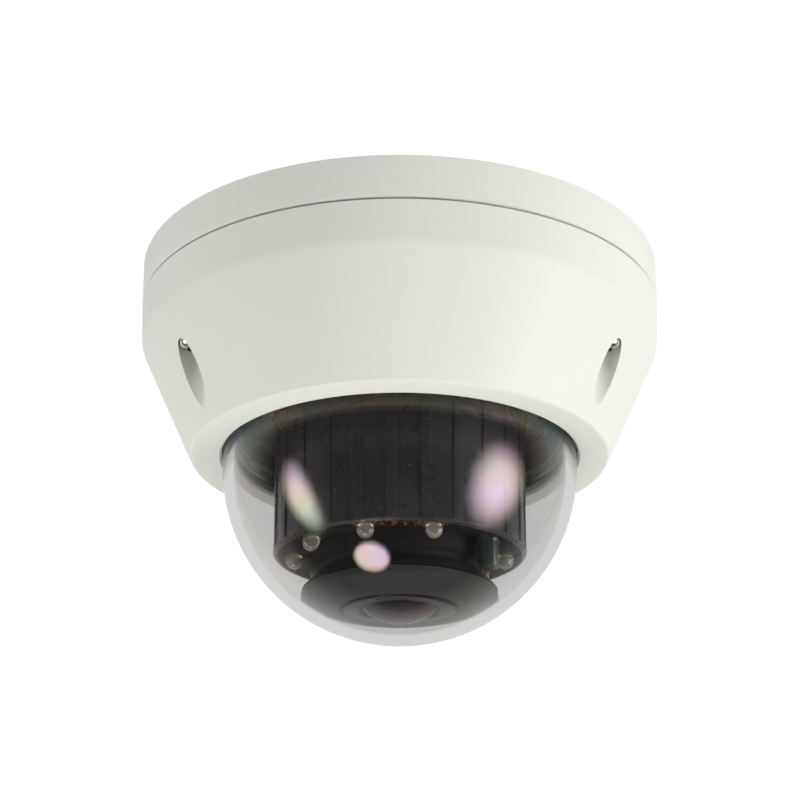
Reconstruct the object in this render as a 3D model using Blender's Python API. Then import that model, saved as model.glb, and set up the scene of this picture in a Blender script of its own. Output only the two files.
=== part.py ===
"""A vandal-resistant dome camera with a fisheye lens, hanging from a ceiling.

Metres, +Z up. The origin is the centre of the flat face that meets the ceiling, so every
height below it is negative. The camera's front is -Y, and an azimuth is counted from the
front towards +X. Each object is one separate piece of the camera.
"""

import math

import bmesh
import bpy
from mathutils import Matrix, Vector

MM = 0.001
GAP = 0.3 * MM  # clearance between pieces that touch
TURN = 2 * math.pi

# Driving dimensions.
BODY_RADIUS = 73.0 * MM
SEAM_Z = -12.5 * MM
CREASE_Z = -24.4 * MM
CREASE_RADIUS = 72.6 * MM
RIM_Z = -56.9 * MM
RIM_RADIUS = 58.1 * MM
DOME_CENTRE_Z = -59.4 * MM
DOME_RADIUS = 49.1 * MM
DOME_WALL = 3.0 * MM
MODULE_TOP_RADIUS = 35.2 * MM
MODULE_BOTTOM_RADIUS = 34.3 * MM
LED_CIRCLE_RADIUS = 28.6 * MM

# Heights of the levels that several pieces share.
FLOOR_Z = -4.0 * MM
SEAM_HALF_GAP = 0.3 * MM
BOARD_TOP_Z = -13.0 * MM
BOARD_BOTTOM_Z = -14.6 * MM
BOARD_PARTS_Z = BOARD_BOTTOM_Z - GAP
PLATE_TOP_Z = -36.0 * MM
PLATE_BOTTOM_Z = -38.0 * MM
CLIP_TOP_Z = -34.1 * MM
CLIP_BOTTOM_Z = -35.6 * MM
CLIP_GROOVE = 1.6 * MM
MODULE_TOP_Z = -41.5 * MM
MODULE_CEILING_Z = -43.5 * MM
SENSOR_BOARD_TOP_Z = -57.9 * MM
SENSOR_BOARD_BOTTOM_Z = -59.3 * MM
LED_BOARD_TOP_Z = -79.5 * MM
LED_BOARD_BOTTOM_Z = -81.1 * MM
LED_BASE_Z = LED_BOARD_BOTTOM_Z - GAP
MASK_TOP_Z = -83.2 * MM
MASK_BOTTOM_Z = -84.4 * MM
MODULE_BOTTOM_Z = -85.6 * MM

# Places round the axis.
COVER_SCREW_CIRCLE = 64.2 * MM
COVER_SCREW_AZIMUTHS = (-60, 60, 180)
POCKET_RADIUS = 4.3 * MM
POCKET_SEAT_Z = -32.9 * MM
COVER_SCREW_RADIUS = 2.0 * MM
POST_CIRCLE = 54.0 * MM
POST_AZIMUTHS = (0, 120, 240)
CEILING_SCREW_CIRCLE = 60.0 * MM
CEILING_SCREW_AZIMUTHS = (30, 150, 270)
CABLE_HOLE_Y = 36.0 * MM
BOARD_SCREW_CIRCLE = 44.0 * MM
BOARD_BOSS_AZIMUTHS = (45, 135, 225, 315)
BOARD_SCREW_AZIMUTHS = (45, 225)
RETAINER_SCREW_CIRCLE = 55.2 * MM
RETAINER_SCREW_AZIMUTHS = (0, 120, 240)
LED_PITCH = 36
SENSOR_AZIMUTH = 54
LED_AZIMUTHS = tuple(a for a in range(18, 360, LED_PITCH) if a != SENSOR_AZIMUTH)
SPARE_HOLE_AZIMUTHS = (-6, 6)
LED_BOARD_SCREW_CIRCLE = 30.0 * MM
LED_BOARD_SCREW_AZIMUTHS = (72, 252)
GRIP_GROOVES = 24

# The day and night filter: a slider with two windows, pushed by a lever.
FILTER_TRAVEL = 8.5 * MM
LEVER_ARM = 10.0 * MM
LEVER_PIVOT_Y = 16.0 * MM
LEVER_HALF_SWING = math.asin(FILTER_TRAVEL / 2 / LEVER_ARM)

# Facets round a full turn.
BIG, MIDDLE, SMALL, TINY = 32, 24, 12, 8


# ---------------------------------------------------------------- scene and materials


def clear_scene():
    for found in list(bpy.data.objects):
        bpy.data.objects.remove(found)


def material(name, colour, roughness, metallic=0.0, alpha=1.0):
    made = bpy.data.materials.new(name)
    made.use_nodes = True
    shader = made.node_tree.nodes["Principled BSDF"]
    shader.inputs["Base Color"].default_value = (*colour, 1)
    shader.inputs["Roughness"].default_value = roughness
    shader.inputs["Metallic"].default_value = metallic
    shader.inputs["Alpha"].default_value = alpha
    return made


def make_materials():
    return {
        "white_paint": material("white_paint", (0.76, 0.77, 0.72), 0.45),
        "black_plastic": material("black_plastic", (0.016, 0.016, 0.018), 0.42),
        "black_rubber": material("black_rubber", (0.02, 0.02, 0.02), 0.75),
        "clear_plastic": material("clear_plastic", (0.95, 0.96, 0.97), 0.03, alpha=0.2),
        "lens_glass": material("lens_glass", (0.05, 0.04, 0.07), 0.02, alpha=0.5),
        "filter_glass": material("filter_glass", (0.45, 0.75, 0.85), 0.02, alpha=0.5),
        "led_epoxy": material("led_epoxy", (0.95, 0.93, 0.85), 0.05, alpha=0.4),
        "tinted_plastic": material("tinted_plastic", (0.02, 0.035, 0.03), 0.1),
        "green_board": material("green_board", (0.02, 0.16, 0.07), 0.4),
        "gilt_board": material("gilt_board", (0.62, 0.36, 0.17), 0.35, 0.6),
        "steel": material("steel", (0.62, 0.62, 0.6), 0.28, 1.0),
        "zinc_plate": material("zinc_plate", (0.55, 0.56, 0.56), 0.4, 1.0),
        "copper_winding": material("copper_winding", (0.72, 0.36, 0.2), 0.35, 1.0),
        "black_anodised": material("black_anodised", (0.025, 0.025, 0.028), 0.5, 0.6),
        "silicone_grey": material("silicone_grey", (0.09, 0.09, 0.09), 0.7),
        "terminal_green": material("terminal_green", (0.05, 0.32, 0.14), 0.45),
        "white_nylon": material("white_nylon", (0.78, 0.77, 0.72), 0.5),
    }


# ---------------------------------------------------------------- modelling helpers


def around(azimuth, radius, z=0.0):
    """The point at that azimuth and radius, at height z."""
    turn = math.radians(azimuth)
    return Vector((radius * math.sin(turn), -radius * math.cos(turn), z))


def link(name, mesh, finish, parent=None, location=(0, 0, 0), azimuth=0.0):
    """An object of that mesh. Its location is in world coordinates, whatever its parent."""
    made = bpy.data.objects.new(name, mesh)
    bpy.context.scene.collection.objects.link(made)
    made.data.materials.append(finish)
    made.parent = parent
    place = Matrix.Translation(location) @ Matrix.Rotation(math.radians(azimuth), 4, "Z")
    made.matrix_local = (parent.matrix_local.inverted() @ place) if parent else place
    return made


def empty(name, location=(0, 0, 0)):
    made = bpy.data.objects.new(name, None)
    bpy.context.scene.collection.objects.link(made)
    made.location = location
    bpy.context.view_layer.update()
    return made


def finished_mesh(name, work, smooth=True):
    """The bmesh as a mesh, closed, facing out, with only its sharp edges left sharp."""
    bmesh.ops.remove_doubles(work, verts=work.verts, dist=1e-6)
    bmesh.ops.recalc_face_normals(work, faces=work.faces)
    mesh = bpy.data.meshes.new(name)
    work.to_mesh(mesh)
    work.free()
    if smooth:
        mesh.shade_smooth()
        mesh.set_sharp_from_angle(angle=math.radians(35))
    return mesh


def turned_mesh(name, outline, steps):
    """A solid of revolution. The outline is a closed loop of (radius, height)."""
    work = bmesh.new()
    points = [work.verts.new((radius, 0, height)) for radius, height in outline]
    pairs = list(zip(points, points[1:] + points[:1]))
    edges = [
        work.edges.new(pair)
        for pair in pairs
        if pair[0].co.x > 0 or pair[1].co.x > 0
    ]
    bmesh.ops.spin(
        work,
        geom=points + edges,
        cent=(0, 0, 0),
        axis=(0, 0, 1),
        angle=TURN,
        steps=steps,
        use_merge=True,
    )
    return finished_mesh(name, work)


def box_mesh(name, low, high, bevel=0.0):
    """A box between two corners, with its edges bevelled."""
    work = bmesh.new()
    bmesh.ops.create_cube(work, size=1)
    size = [b - a for a, b in zip(low, high)]
    centre = [(a + b) / 2 for a, b in zip(low, high)]
    bmesh.ops.scale(work, vec=size, verts=work.verts)
    bmesh.ops.translate(work, vec=centre, verts=work.verts)
    if bevel:
        bmesh.ops.bevel(work, geom=work.edges[:], offset=bevel, segments=1, affect="EDGES")
    return finished_mesh(name, work, smooth=False)


def prism_mesh(name, outline, low, high):
    """A flat outline of (x, y) points, extruded from height low to height high."""
    work = bmesh.new()
    face = work.faces.new([work.verts.new((x, y, low)) for x, y in outline])
    raised = bmesh.ops.extrude_face_region(work, geom=[face])["geom"]
    moved = [g for g in raised if isinstance(g, bmesh.types.BMVert)]
    bmesh.ops.translate(work, vec=(0, 0, high - low), verts=moved)
    return finished_mesh(name, work, smooth=False)


def mm(*pairs):
    """(radius, height) pairs given in millimetres, in metres."""
    return [(radius * MM, height * MM) for radius, height in pairs]


def arc(centre, radius, start, end, steps):
    """Points of (radius, height) along an arc, with angles in degrees from the +radius way."""
    angles = [math.radians(start + (end - start) * i / steps) for i in range(steps + 1)]
    return [
        (centre[0] + radius * math.cos(a), centre[1] + radius * math.sin(a)) for a in angles
    ]


def rounded(before, corner, after, radius, steps=4):
    """The corner of an outline, replaced by an arc of that radius."""
    before, corner, after = Vector(before), Vector(corner), Vector(after)
    back = (before - corner).normalized()
    on = (after - corner).normalized()
    half = back.angle(on) / 2
    centre = corner + (back + on).normalized() * radius / math.sin(half)
    first = corner + back * radius / math.tan(half) - centre
    last = corner + on * radius / math.tan(half) - centre
    sweep = first.angle_signed(last)
    points = []
    for i in range(steps + 1):
        turn = Matrix.Rotation(-sweep * i / steps, 2)
        points.append(tuple(centre + turn @ first))
    return points


def tube_outline(inner, outer, low, high):
    return [(inner, high), (outer, high), (outer, low), (inner, low)]


def rod_outline(radius, low, high):
    return [(0, high), (radius, high), (radius, low), (0, low)]


def turned(name, outline, finish, parent, steps=MIDDLE, location=(0, 0, 0), azimuth=0.0):
    return link(name, turned_mesh(name, outline, steps), finish, parent, location, azimuth)


def box(name, low, high, finish, parent, bevel=0.0, azimuth=0.0):
    return link(name, box_mesh(name, low, high, bevel), finish, parent, azimuth=azimuth)


def helper(made):
    """Marks an object as a cutter or an addition, which is not a piece of its own."""
    made.hide_render = True
    made.display_type = "WIRE"
    return made


def boolean(target, tool, operation):
    change = target.modifiers.new(f"{operation.lower()}_{tool.name}", "BOOLEAN")
    change.operation = operation
    change.object = tool
    change.solver = "EXACT"
    return target


def cut(target, tool):
    return boolean(target, helper(tool), "DIFFERENCE")


def join(target, tool):
    return boolean(target, helper(tool), "UNION")


def weld_cut_edges():
    """Makes the points that the cuts leave within 0.01 mm of each other one point."""
    for found in bpy.data.objects:
        if found.modifiers:
            weld = found.modifiers.new("weld", "WELD")
            weld.merge_threshold = 0.01 * MM


def spread_mesh(name, *groups):
    """One mesh with each group's mesh at each of its (location, azimuth) places."""
    work = bmesh.new()
    for mesh, places in groups:
        for location, azimuth in places:
            copy = mesh.copy()
            turn = Matrix.Rotation(math.radians(azimuth), 4, "Z")
            copy.transform(Matrix.Translation(location) @ turn)
            work.from_mesh(copy)
            bpy.data.meshes.remove(copy)
    return finished_mesh(name, work)


def spread(name, finish, *groups):
    """Groups of copies that stay clear of each other, as one tool for a Boolean."""
    return link(name, spread_mesh(name, *groups), finish)


def rods(radius, low, high, azimuths, circle, steps=SMALL):
    """A group of equal upright rods, round a circle."""
    mesh = turned_mesh("rod", rod_outline(radius, low, high), steps)
    return mesh, [(around(a, circle), a) for a in azimuths]


def rod(radius, low, high, place=(0, 0, 0), steps=SMALL):
    """A group of one upright rod."""
    return turned_mesh("rod", rod_outline(radius, low, high), steps), [(place, 0)]


def pieces(name, mesh, azimuths, radius, finish, parent):
    """Equal pieces round a circle, numbered from 1, which share one mesh."""
    for number, azimuth in enumerate(azimuths, start=1):
        link(f"{name}_{number}", mesh, finish, parent, around(azimuth, radius))


def screw_mesh(name, head_radius, head_low, seat, shank_radius, tip, steps=TINY):
    """A pan-head screw that hangs head down, with its shank pointing up to tip."""
    brow = (seat - head_low) * 0.45
    outline = [
        (0, tip),
        (shank_radius, tip),
        (shank_radius, seat),
        (head_radius, seat),
        (head_radius, head_low + brow),
        (head_radius * 0.72, head_low),
        (0, head_low),
    ]
    return turned_mesh(name, outline, steps)


# ---------------------------------------------------------------- the fixed base


def make_base_housing(m, base):
    """The ceiling plate and its rim, cast with the bosses and posts that hang from it."""
    wall = 4.6 * MM
    edge = 0.8 * MM
    low = SEAM_Z + SEAM_HALF_GAP
    outline = [
        (0, 0),
        (BODY_RADIUS - edge, 0),
        (BODY_RADIUS, -edge),
        (BODY_RADIUS, low + edge / 4),
        (BODY_RADIUS - edge / 4, low),
        (BODY_RADIUS - wall, low),
        (BODY_RADIUS - wall, FLOOR_Z),
        (0, FLOOR_Z),
    ]
    housing = turned("base_housing", outline, m["white_paint"], base, BIG)
    root, boss_low = FLOOR_Z + MM, -14.0 * MM
    board_boss_low, post_low = BOARD_TOP_Z + GAP, PLATE_TOP_Z + GAP
    bosses = spread(
        "base_bosses", m["white_paint"],
        rods(4.0 * MM, boss_low, root, COVER_SCREW_AZIMUTHS, COVER_SCREW_CIRCLE),
        rods(2.5 * MM, board_boss_low, root, BOARD_BOSS_AZIMUTHS, BOARD_SCREW_CIRCLE, TINY),
        rods(2.8 * MM, post_low, root, POST_AZIMUTHS, POST_CIRCLE, TINY),
    )
    join(housing, bosses)
    hole_low, hole_high = FLOOR_Z - MM, MM
    boss_hole, small_hole = COVER_SCREW_RADIUS + GAP, 1.5 * MM
    holes = spread(
        "base_holes", m["white_paint"],
        rods(boss_hole, boss_low - MM, -5.0 * MM, COVER_SCREW_AZIMUTHS, COVER_SCREW_CIRCLE),
        rods(small_hole, board_boss_low - MM, -7.5 * MM, BOARD_BOSS_AZIMUTHS,
             BOARD_SCREW_CIRCLE, TINY),
        rods(small_hole, post_low - MM, -31.0 * MM, POST_AZIMUTHS, POST_CIRCLE, TINY),
        rods(3.25 * MM, hole_low, hole_high, CEILING_SCREW_AZIMUTHS, CEILING_SCREW_CIRCLE),
        rod(12.0 * MM, hole_low, hole_high, (0, CABLE_HOLE_Y, 0), MIDDLE),
    )
    cut(housing, holes)


def make_cable_grommet(m, base):
    outline = mm((4.5, -0.4), (11.6, -0.4), (11.6, -4.3), (14, -4.3), (14, -6.3), (4.5, -6.3))
    turned(
        "cable_grommet", outline, m["black_rubber"], base, location=(0, CABLE_HOLE_Y, 0)
    )


def make_body_gasket(m, base):
    outline = tube_outline(68.5 * MM, 70.2 * MM, -14.1 * MM, SEAM_Z)
    turned("body_gasket", outline, m["silicone_grey"], base, BIG)


def make_main_board(m, base):
    board = turned(
        "main_board", rod_outline(50.0 * MM, BOARD_BOTTOM_Z, BOARD_TOP_Z), m["green_board"],
        base,
    )
    low, high = BOARD_BOTTOM_Z - MM, BOARD_TOP_Z + MM
    half = 14.0 * MM
    notch = box_mesh("board_notch", (-half, 24.0 * MM, low), (half, 55.0 * MM, high))
    holes = rods(1.6 * MM, low, high, BOARD_BOSS_AZIMUTHS, BOARD_SCREW_CIRCLE, TINY)
    cut(board, spread("board_holes", m["green_board"], (notch, [((0, 0, 0), 0)]), holes))
    mesh = screw_mesh(
        "board_screw", 2.5 * MM, -16.7 * MM, BOARD_PARTS_Z, 1.2 * MM, -9.0 * MM
    )
    pieces("board_screw", mesh, BOARD_SCREW_AZIMUTHS, BOARD_SCREW_CIRCLE, m["steel"], base)


def make_network_socket(m, base):
    low = Vector((-36, 12, -28.4)) * MM
    high = Vector((-15, 28, 0)) * MM
    high.z = BOARD_PARTS_Z
    socket = box("network_socket", low, high, m["steel"], base, 0.3 * MM)
    cavity = box(
        "network_socket_cavity", Vector((-31, 14, -25.5)) * MM,
        Vector((-14, 26, -17.5)) * MM, m["black_plastic"], None,
    )
    cut(socket, cavity)


def make_power_terminal(m, base):
    low = Vector((21, 14, -24.9)) * MM
    high = Vector((29, 25, 0)) * MM
    high.z = BOARD_PARTS_Z
    terminal = box("power_terminal", low, high, m["terminal_green"], base, 0.3 * MM)
    mesh = turned_mesh("wire_hole", rod_outline(1.4 * MM, -4 * MM, 4 * MM), TINY)
    mesh.transform(Matrix.Rotation(math.pi / 2, 4, "Y"))
    middle, step = Vector((21, 19.5, -20.5)) * MM, Vector((0, 2.6 * MM, 0))
    places = [(middle - step, 0), (middle + step, 0)]
    cut(terminal, spread("wire_holes", m["terminal_green"], (mesh, places)))


def make_processor_heatsink(m, base):
    half, fins, base_height, fin_height = 12.0 * MM, 7, 2.0 * MM, 6.0 * MM
    pitch = 2 * half / (fins - 0.5)
    width = pitch / 2
    outline = [(-half, 0), (half, 0)]
    for i in reversed(range(fins)):
        left = -half + i * pitch
        outline += [
            (left + width, base_height),
            (left + width, base_height + fin_height),
            (left, base_height + fin_height),
            (left, base_height),
        ]
    mesh = prism_mesh("processor_heatsink", outline, -half, half)
    mesh.transform(Matrix.Rotation(-math.pi / 2, 4, "X"))
    link(
        "processor_heatsink", mesh, m["black_anodised"], base,
        location=(0, -8 * MM, BOARD_PARTS_Z),
    )


def make_card_socket(m, base):
    low = Vector((17, -24, -16.8)) * MM
    high = Vector((32, -10, 0)) * MM
    high.z = BOARD_PARTS_Z
    socket = box("memory_card_socket", low, high, m["steel"], base, 0.2 * MM)
    slot = box(
        "card_slot", Vector((18.8, -25, -16.3)) * MM, Vector((30.2, -12, -15.3)) * MM,
        m["steel"], None,
    )
    cut(socket, slot)


RESET_PLACE = Vector((-22.0, -16.0, 0.0)) * MM


def make_reset_switch(m, base, reset_axis):
    half = Vector((3.0, 3.0, 0.0)) * MM
    low = RESET_PLACE - half
    high = RESET_PLACE + half
    low.z = -18.4 * MM
    high.z = BOARD_PARTS_Z
    switch = box("reset_switch", low, high, m["black_plastic"], base, 0.2 * MM)
    well = turned(
        "reset_well", rod_outline(2.0 * MM, -19.5 * MM, -16.0 * MM), m["black_plastic"], None,
        SMALL, RESET_PLACE,
    )
    cut(switch, well)
    stem = mm((0, -17.2), (1.7, -17.2), (1.7, -21.6), (1.4, -21.9), (0, -21.9))
    turned("reset_button", stem, m["white_nylon"], reset_axis, SMALL, RESET_PLACE)


def make_bracket(m, base):
    """The plate that carries the turning module, with its pan stop and its screws."""
    plate = turned(
        "bracket_plate", tube_outline(20.4 * MM, 56.0 * MM, PLATE_BOTTOM_Z, PLATE_TOP_Z),
        m["zinc_plate"], base,
    )
    stop = rods(1.5 * MM, -40.2 * MM, PLATE_BOTTOM_Z + MM, (180,), 33.0 * MM, TINY)
    join(plate, spread("pan_stop_pin", m["zinc_plate"], stop))
    low, high = PLATE_BOTTOM_Z - MM, PLATE_TOP_Z + MM
    holes = rods(1.6 * MM, low, high, POST_AZIMUTHS, POST_CIRCLE, TINY)
    cut(plate, spread("plate_holes", m["zinc_plate"], holes))
    mesh = screw_mesh(
        "bracket_screw", 2.6 * MM, -40.1 * MM, PLATE_BOTTOM_Z - GAP, 1.2 * MM, -32.5 * MM
    )
    pieces("bracket_screw", mesh, POST_AZIMUTHS, POST_CIRCLE, m["steel"], base)


def make_inner_liner(m, base):
    top, low = -43.2 * MM, -44.8 * MM
    outline = tube_outline(36.4 * MM, 52.5 * MM, low, top)
    liner = turned("inner_liner", outline, m["black_plastic"], base, BIG)
    legs = rods(2.0 * MM, top - MM / 2, PLATE_BOTTOM_Z - GAP, (30, 150, 270), 49.0 * MM, TINY)
    join(liner, spread("liner_legs", m["black_plastic"], legs))


# ---------------------------------------------------------------- the cover and the dome


def cover_outer_outline():
    top = SEAM_Z - SEAM_HALF_GAP
    edge = 0.2 * MM
    top_edge = (BODY_RADIUS, top - edge)
    crease = (CREASE_RADIUS, CREASE_Z)
    rim = (RIM_RADIUS, RIM_Z)
    inner_rim = (40.0 * MM, RIM_Z + 0.8 * MM)
    return (
        [(0, top), (BODY_RADIUS - edge, top), top_edge]
        + rounded(top_edge, crease, rim, 4.0 * MM, 3)
        + rounded(crease, rim, inner_rim, 1.2 * MM, 2)
        + [(0, RIM_Z + 0.8 * MM)]
    )


COVER_WALL_ACROSS = 3.1 * MM  # the cone's wall, measured along the radius
RIM_PLATE_Z = -54.2 * MM


def make_cover_shell(m, cover):
    """The cast cover: a wall, a cone and a flat rim, with three pockets for its screws."""
    shell = turned("cover_shell", cover_outer_outline(), m["white_paint"], cover, BIG)
    slope = (CREASE_RADIUS - RIM_RADIUS) / (CREASE_Z - RIM_Z)
    inner_rim_radius = RIM_RADIUS + slope * (RIM_PLATE_Z - RIM_Z) - COVER_WALL_ACROSS
    above = -10.0 * MM
    cavity_outline = mm((70.5, -14.4), (67.0, -14.4), (67.0, -17.5), (69.9, -21.5)) + [
        (CREASE_RADIUS - COVER_WALL_ACROSS, -25.0 * MM),
        (inner_rim_radius, RIM_PLATE_Z),
        (0, RIM_PLATE_Z),
        (0, above),
        (70.5 * MM, above),
    ]
    cavity = turned("cover_cavity", cavity_outline, m["white_paint"], None, BIG)
    solid_parts = spread(
        "cover_posts", m["white_paint"],
        rods(6.2 * MM, -60.0 * MM, -14.8 * MM, COVER_SCREW_AZIMUTHS, COVER_SCREW_CIRCLE),
        rods(2.5 * MM, RIM_PLATE_Z - MM, -50.3 * MM, RETAINER_SCREW_AZIMUTHS,
             RETAINER_SCREW_CIRCLE, TINY),
    )
    cut(cavity, solid_parts)
    cut(shell, cavity)
    hole_radius, seat, low = COVER_SCREW_RADIUS + 0.35 * MM, POCKET_SEAT_Z, -62.0 * MM
    pocket = turned_mesh(
        "screw_pocket",
        [(0, above), (hole_radius, above), (hole_radius, seat), (POCKET_RADIUS, seat),
         (POCKET_RADIUS, low), (0, low)],
        SMALL,
    )
    pocket_places = [(around(a, COVER_SCREW_CIRCLE), a) for a in COVER_SCREW_AZIMUTHS]
    opening = turned_mesh(
        "dome_opening", rod_outline(DOME_RADIUS + 0.35 * MM, low, RIM_PLATE_Z + MM), BIG
    )
    holes = spread(
        "cover_holes", m["white_paint"],
        (pocket, pocket_places),
        (opening, [((0, 0, 0), 0)]),
        rods(1.5 * MM, -53.2 * MM, -50.0 * MM, RETAINER_SCREW_AZIMUTHS,
             RETAINER_SCREW_CIRCLE, TINY),
    )
    cut(shell, holes)


def make_dome_bubble(m, cover):
    centre = (0, DOME_CENTRE_Z)
    inner = DOME_RADIUS - DOME_WALL
    top, shoulder, flange = -50.3 * MM, -52.8 * MM, 52.2 * MM
    steps = 7
    outline = (
        [(inner, top), (flange, top), (flange, shoulder), (DOME_RADIUS, shoulder)]
        + arc(centre, DOME_RADIUS, 0, -90, steps)
        + arc(centre, inner, -90, 0, steps)
    )
    outline = [(max(radius, 0.0) if radius > 1e-9 else 0.0, z) for radius, z in outline]
    turned("dome_bubble", outline, m["clear_plastic"], cover, BIG)


def make_dome_seal(m, cover):
    turned(
        "dome_gasket", tube_outline(49.7 * MM, 52.1 * MM, -53.9 * MM, -53.1 * MM),
        m["black_rubber"], cover, BIG,
    )


def make_dome_retainer(m, cover):
    """The ring that presses the dome's flange to the cover, stepped towards its middle."""
    bottom, deck, step = -50.0, -48.2, 1.6
    outline = mm((57.4, bottom), (57.4, deck), (50.0, deck), (50.0, -45.4), (49.2, -45.4))
    for i in range(2):
        height = -45.4 - step * (i + 1)
        outline += mm((49.2 - 1.2 * i, height), (48.0 - 1.2 * i, height))
    outline += mm((46.5, bottom))
    retainer = turned("dome_retainer", outline, m["black_plastic"], cover, BIG)
    holes = rods(
        1.5 * MM, -51.0 * MM, -47.0 * MM, RETAINER_SCREW_AZIMUTHS, RETAINER_SCREW_CIRCLE, TINY
    )
    cut(retainer, spread("retainer_holes", m["black_plastic"], holes))
    mesh = turned_mesh(
        "retainer_screw",
        mm((0, -46.3), (1.5, -46.3), (2.1, -47.0), (2.1, -47.9), (1.2, -47.9), (1.2, -52.6),
           (0, -52.6)),
        TINY,
    )
    pieces(
        "retainer_screw", mesh, RETAINER_SCREW_AZIMUTHS, RETAINER_SCREW_CIRCLE, m["steel"],
        cover,
    )


SCREW_SIDES = {-60: "left", 60: "right", 180: "rear"}
SCREW_SEAT_Z = -34.1 * MM
SCREW_HEAD_LOW_Z = -37.0 * MM


def make_cover_screws(m, screw_axes):
    """Three captive screws with a button head and a six-sided socket round a pin."""
    head = 3.5 * MM
    outline = [
        (0, -6.6 * MM),
        (COVER_SCREW_RADIUS, -6.6 * MM),
        (COVER_SCREW_RADIUS, SCREW_SEAT_Z),
        (head, SCREW_SEAT_Z),
        (head, SCREW_SEAT_Z - 0.9 * MM),
        (head * 0.86, SCREW_SEAT_Z - 2.0 * MM),
        (head * 0.62, SCREW_HEAD_LOW_Z),
        (0, SCREW_HEAD_LOW_Z),
    ]
    mesh = turned_mesh("cover_screw", outline, SMALL)
    floor = SCREW_HEAD_LOW_Z + 1.6 * MM
    for azimuth, side in SCREW_SIDES.items():
        place = around(azimuth, COVER_SCREW_CIRCLE)
        screw = link(f"cover_screw_{side}", mesh, m["steel"], screw_axes[side], place)
        socket = turned(
            f"socket_{side}", rod_outline(1.8 * MM, SCREW_HEAD_LOW_Z - MM, floor), m["steel"],
            None, 6, place,
        )
        pin = turned(
            f"socket_pin_{side}", rod_outline(0.6 * MM, SCREW_HEAD_LOW_Z - 2 * MM, floor + MM),
            m["steel"], None, TINY, place,
        )
        cut(socket, pin)
        cut(screw, socket)


# ---------------------------------------------------------------- the turning module


def groove_mesh():
    """Cutter for one of the grip grooves, which follow the housing's slight taper."""
    half, depth, out = 1.1 * MM, 0.45 * MM, 3.0 * MM
    top, low = MODULE_TOP_Z - 2.6 * MM, MODULE_BOTTOM_Z - MM
    work = bmesh.new()
    rings = []
    for z, radius in ((top, MODULE_TOP_RADIUS), (low, MODULE_BOTTOM_RADIUS)):
        near, far = -(radius - depth), -(radius + out)
        corners = ((-half, near), (half, near), (half, far), (-half, far))
        rings.append([work.verts.new((x, y, z)) for x, y in corners])
    upper, lower = rings
    work.faces.new(upper)
    work.faces.new(lower[::-1])
    for i in range(4):
        j = (i + 1) % 4
        work.faces.new((upper[i], lower[i], lower[j], upper[j]))
    return finished_mesh("grip_groove", work, smooth=False)


def make_module_housing(m, module):
    """The ribbed cup that is turned by hand, with its hub through the bracket plate."""
    hub, hub_top, bore, inner = 20.0 * MM, -31.6 * MM, 12.0 * MM, 33.0 * MM
    chamfer = 1.0 * MM
    outline = [
        (bore, hub_top),
        (hub - MM / 2, hub_top),
        (hub, hub_top - MM / 2),
        (hub, CLIP_TOP_Z + GAP),
        (hub - CLIP_GROOVE, CLIP_TOP_Z + GAP),
        (hub - CLIP_GROOVE, CLIP_BOTTOM_Z - GAP),
        (hub, CLIP_BOTTOM_Z - GAP),
        (hub, MODULE_TOP_Z),
        (MODULE_TOP_RADIUS - chamfer, MODULE_TOP_Z),
        (MODULE_TOP_RADIUS, MODULE_TOP_Z - chamfer),
        (MODULE_BOTTOM_RADIUS, MODULE_BOTTOM_Z + chamfer),
        (MODULE_BOTTOM_RADIUS - 0.7 * MM, MODULE_BOTTOM_Z),
        (inner, MODULE_BOTTOM_Z),
        (inner, MODULE_CEILING_Z),
        (bore, MODULE_CEILING_Z),
    ]
    housing = turned("module_housing", outline, m["black_plastic"], module, GRIP_GROOVES)
    places = [((0, 0, 0), -2 + 360 / GRIP_GROOVES * i) for i in range(GRIP_GROOVES)]
    cut(housing, spread("grip_grooves", m["black_plastic"], (groove_mesh(), places)))
    root = MODULE_CEILING_Z + MM
    corner = Vector((19.6, 16.0, 0)) * MM
    corners = [((x * corner.x, y * corner.y, 0), 0) for x in (-1, 1) for y in (-1, 1)]
    sensor_boss = rod_outline(1.8 * MM, SENSOR_BOARD_TOP_Z + GAP, root)
    lug = box_mesh(
        "pan_stop_lug", Vector((-1.5, -34.0, -42.5)) * MM, Vector((1.5, -31.5, -39.0)) * MM
    )
    bosses = spread(
        "module_bosses", m["black_plastic"],
        rods(2.0 * MM, LED_BOARD_TOP_Z + GAP, root, LED_BOARD_SCREW_AZIMUTHS,
             LED_BOARD_SCREW_CIRCLE, TINY),
        (turned_mesh("sensor_boss", sensor_boss, TINY), corners),
        (lug, [((0, 0, 0), 0)]),
    )
    join(housing, bosses)
    holes = rods(
        1.3 * MM, LED_BOARD_TOP_Z - MM, -73.0 * MM, LED_BOARD_SCREW_AZIMUTHS,
        LED_BOARD_SCREW_CIRCLE, TINY,
    )
    cut(housing, spread("led_board_boss_holes", m["black_plastic"], holes))


def make_turntable(m, module):
    """The snap ring that hangs the module on the bracket plate, and the washer below it."""
    ring = turned(
        "snap_ring", tube_outline(18.7 * MM, 24.5 * MM, CLIP_BOTTOM_Z, CLIP_TOP_Z),
        m["zinc_plate"], module,
    )
    mouth = box(
        "snap_ring_mouth", Vector((-5, 12, -40)) * MM, Vector((5, 27, -30)) * MM,
        m["zinc_plate"], None,
    )
    cut(ring, mouth)
    turned(
        "friction_washer",
        tube_outline(20.4 * MM, 28.0 * MM, MODULE_TOP_Z + GAP, PLATE_BOTTOM_Z - GAP),
        m["white_nylon"], module,
    )


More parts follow.
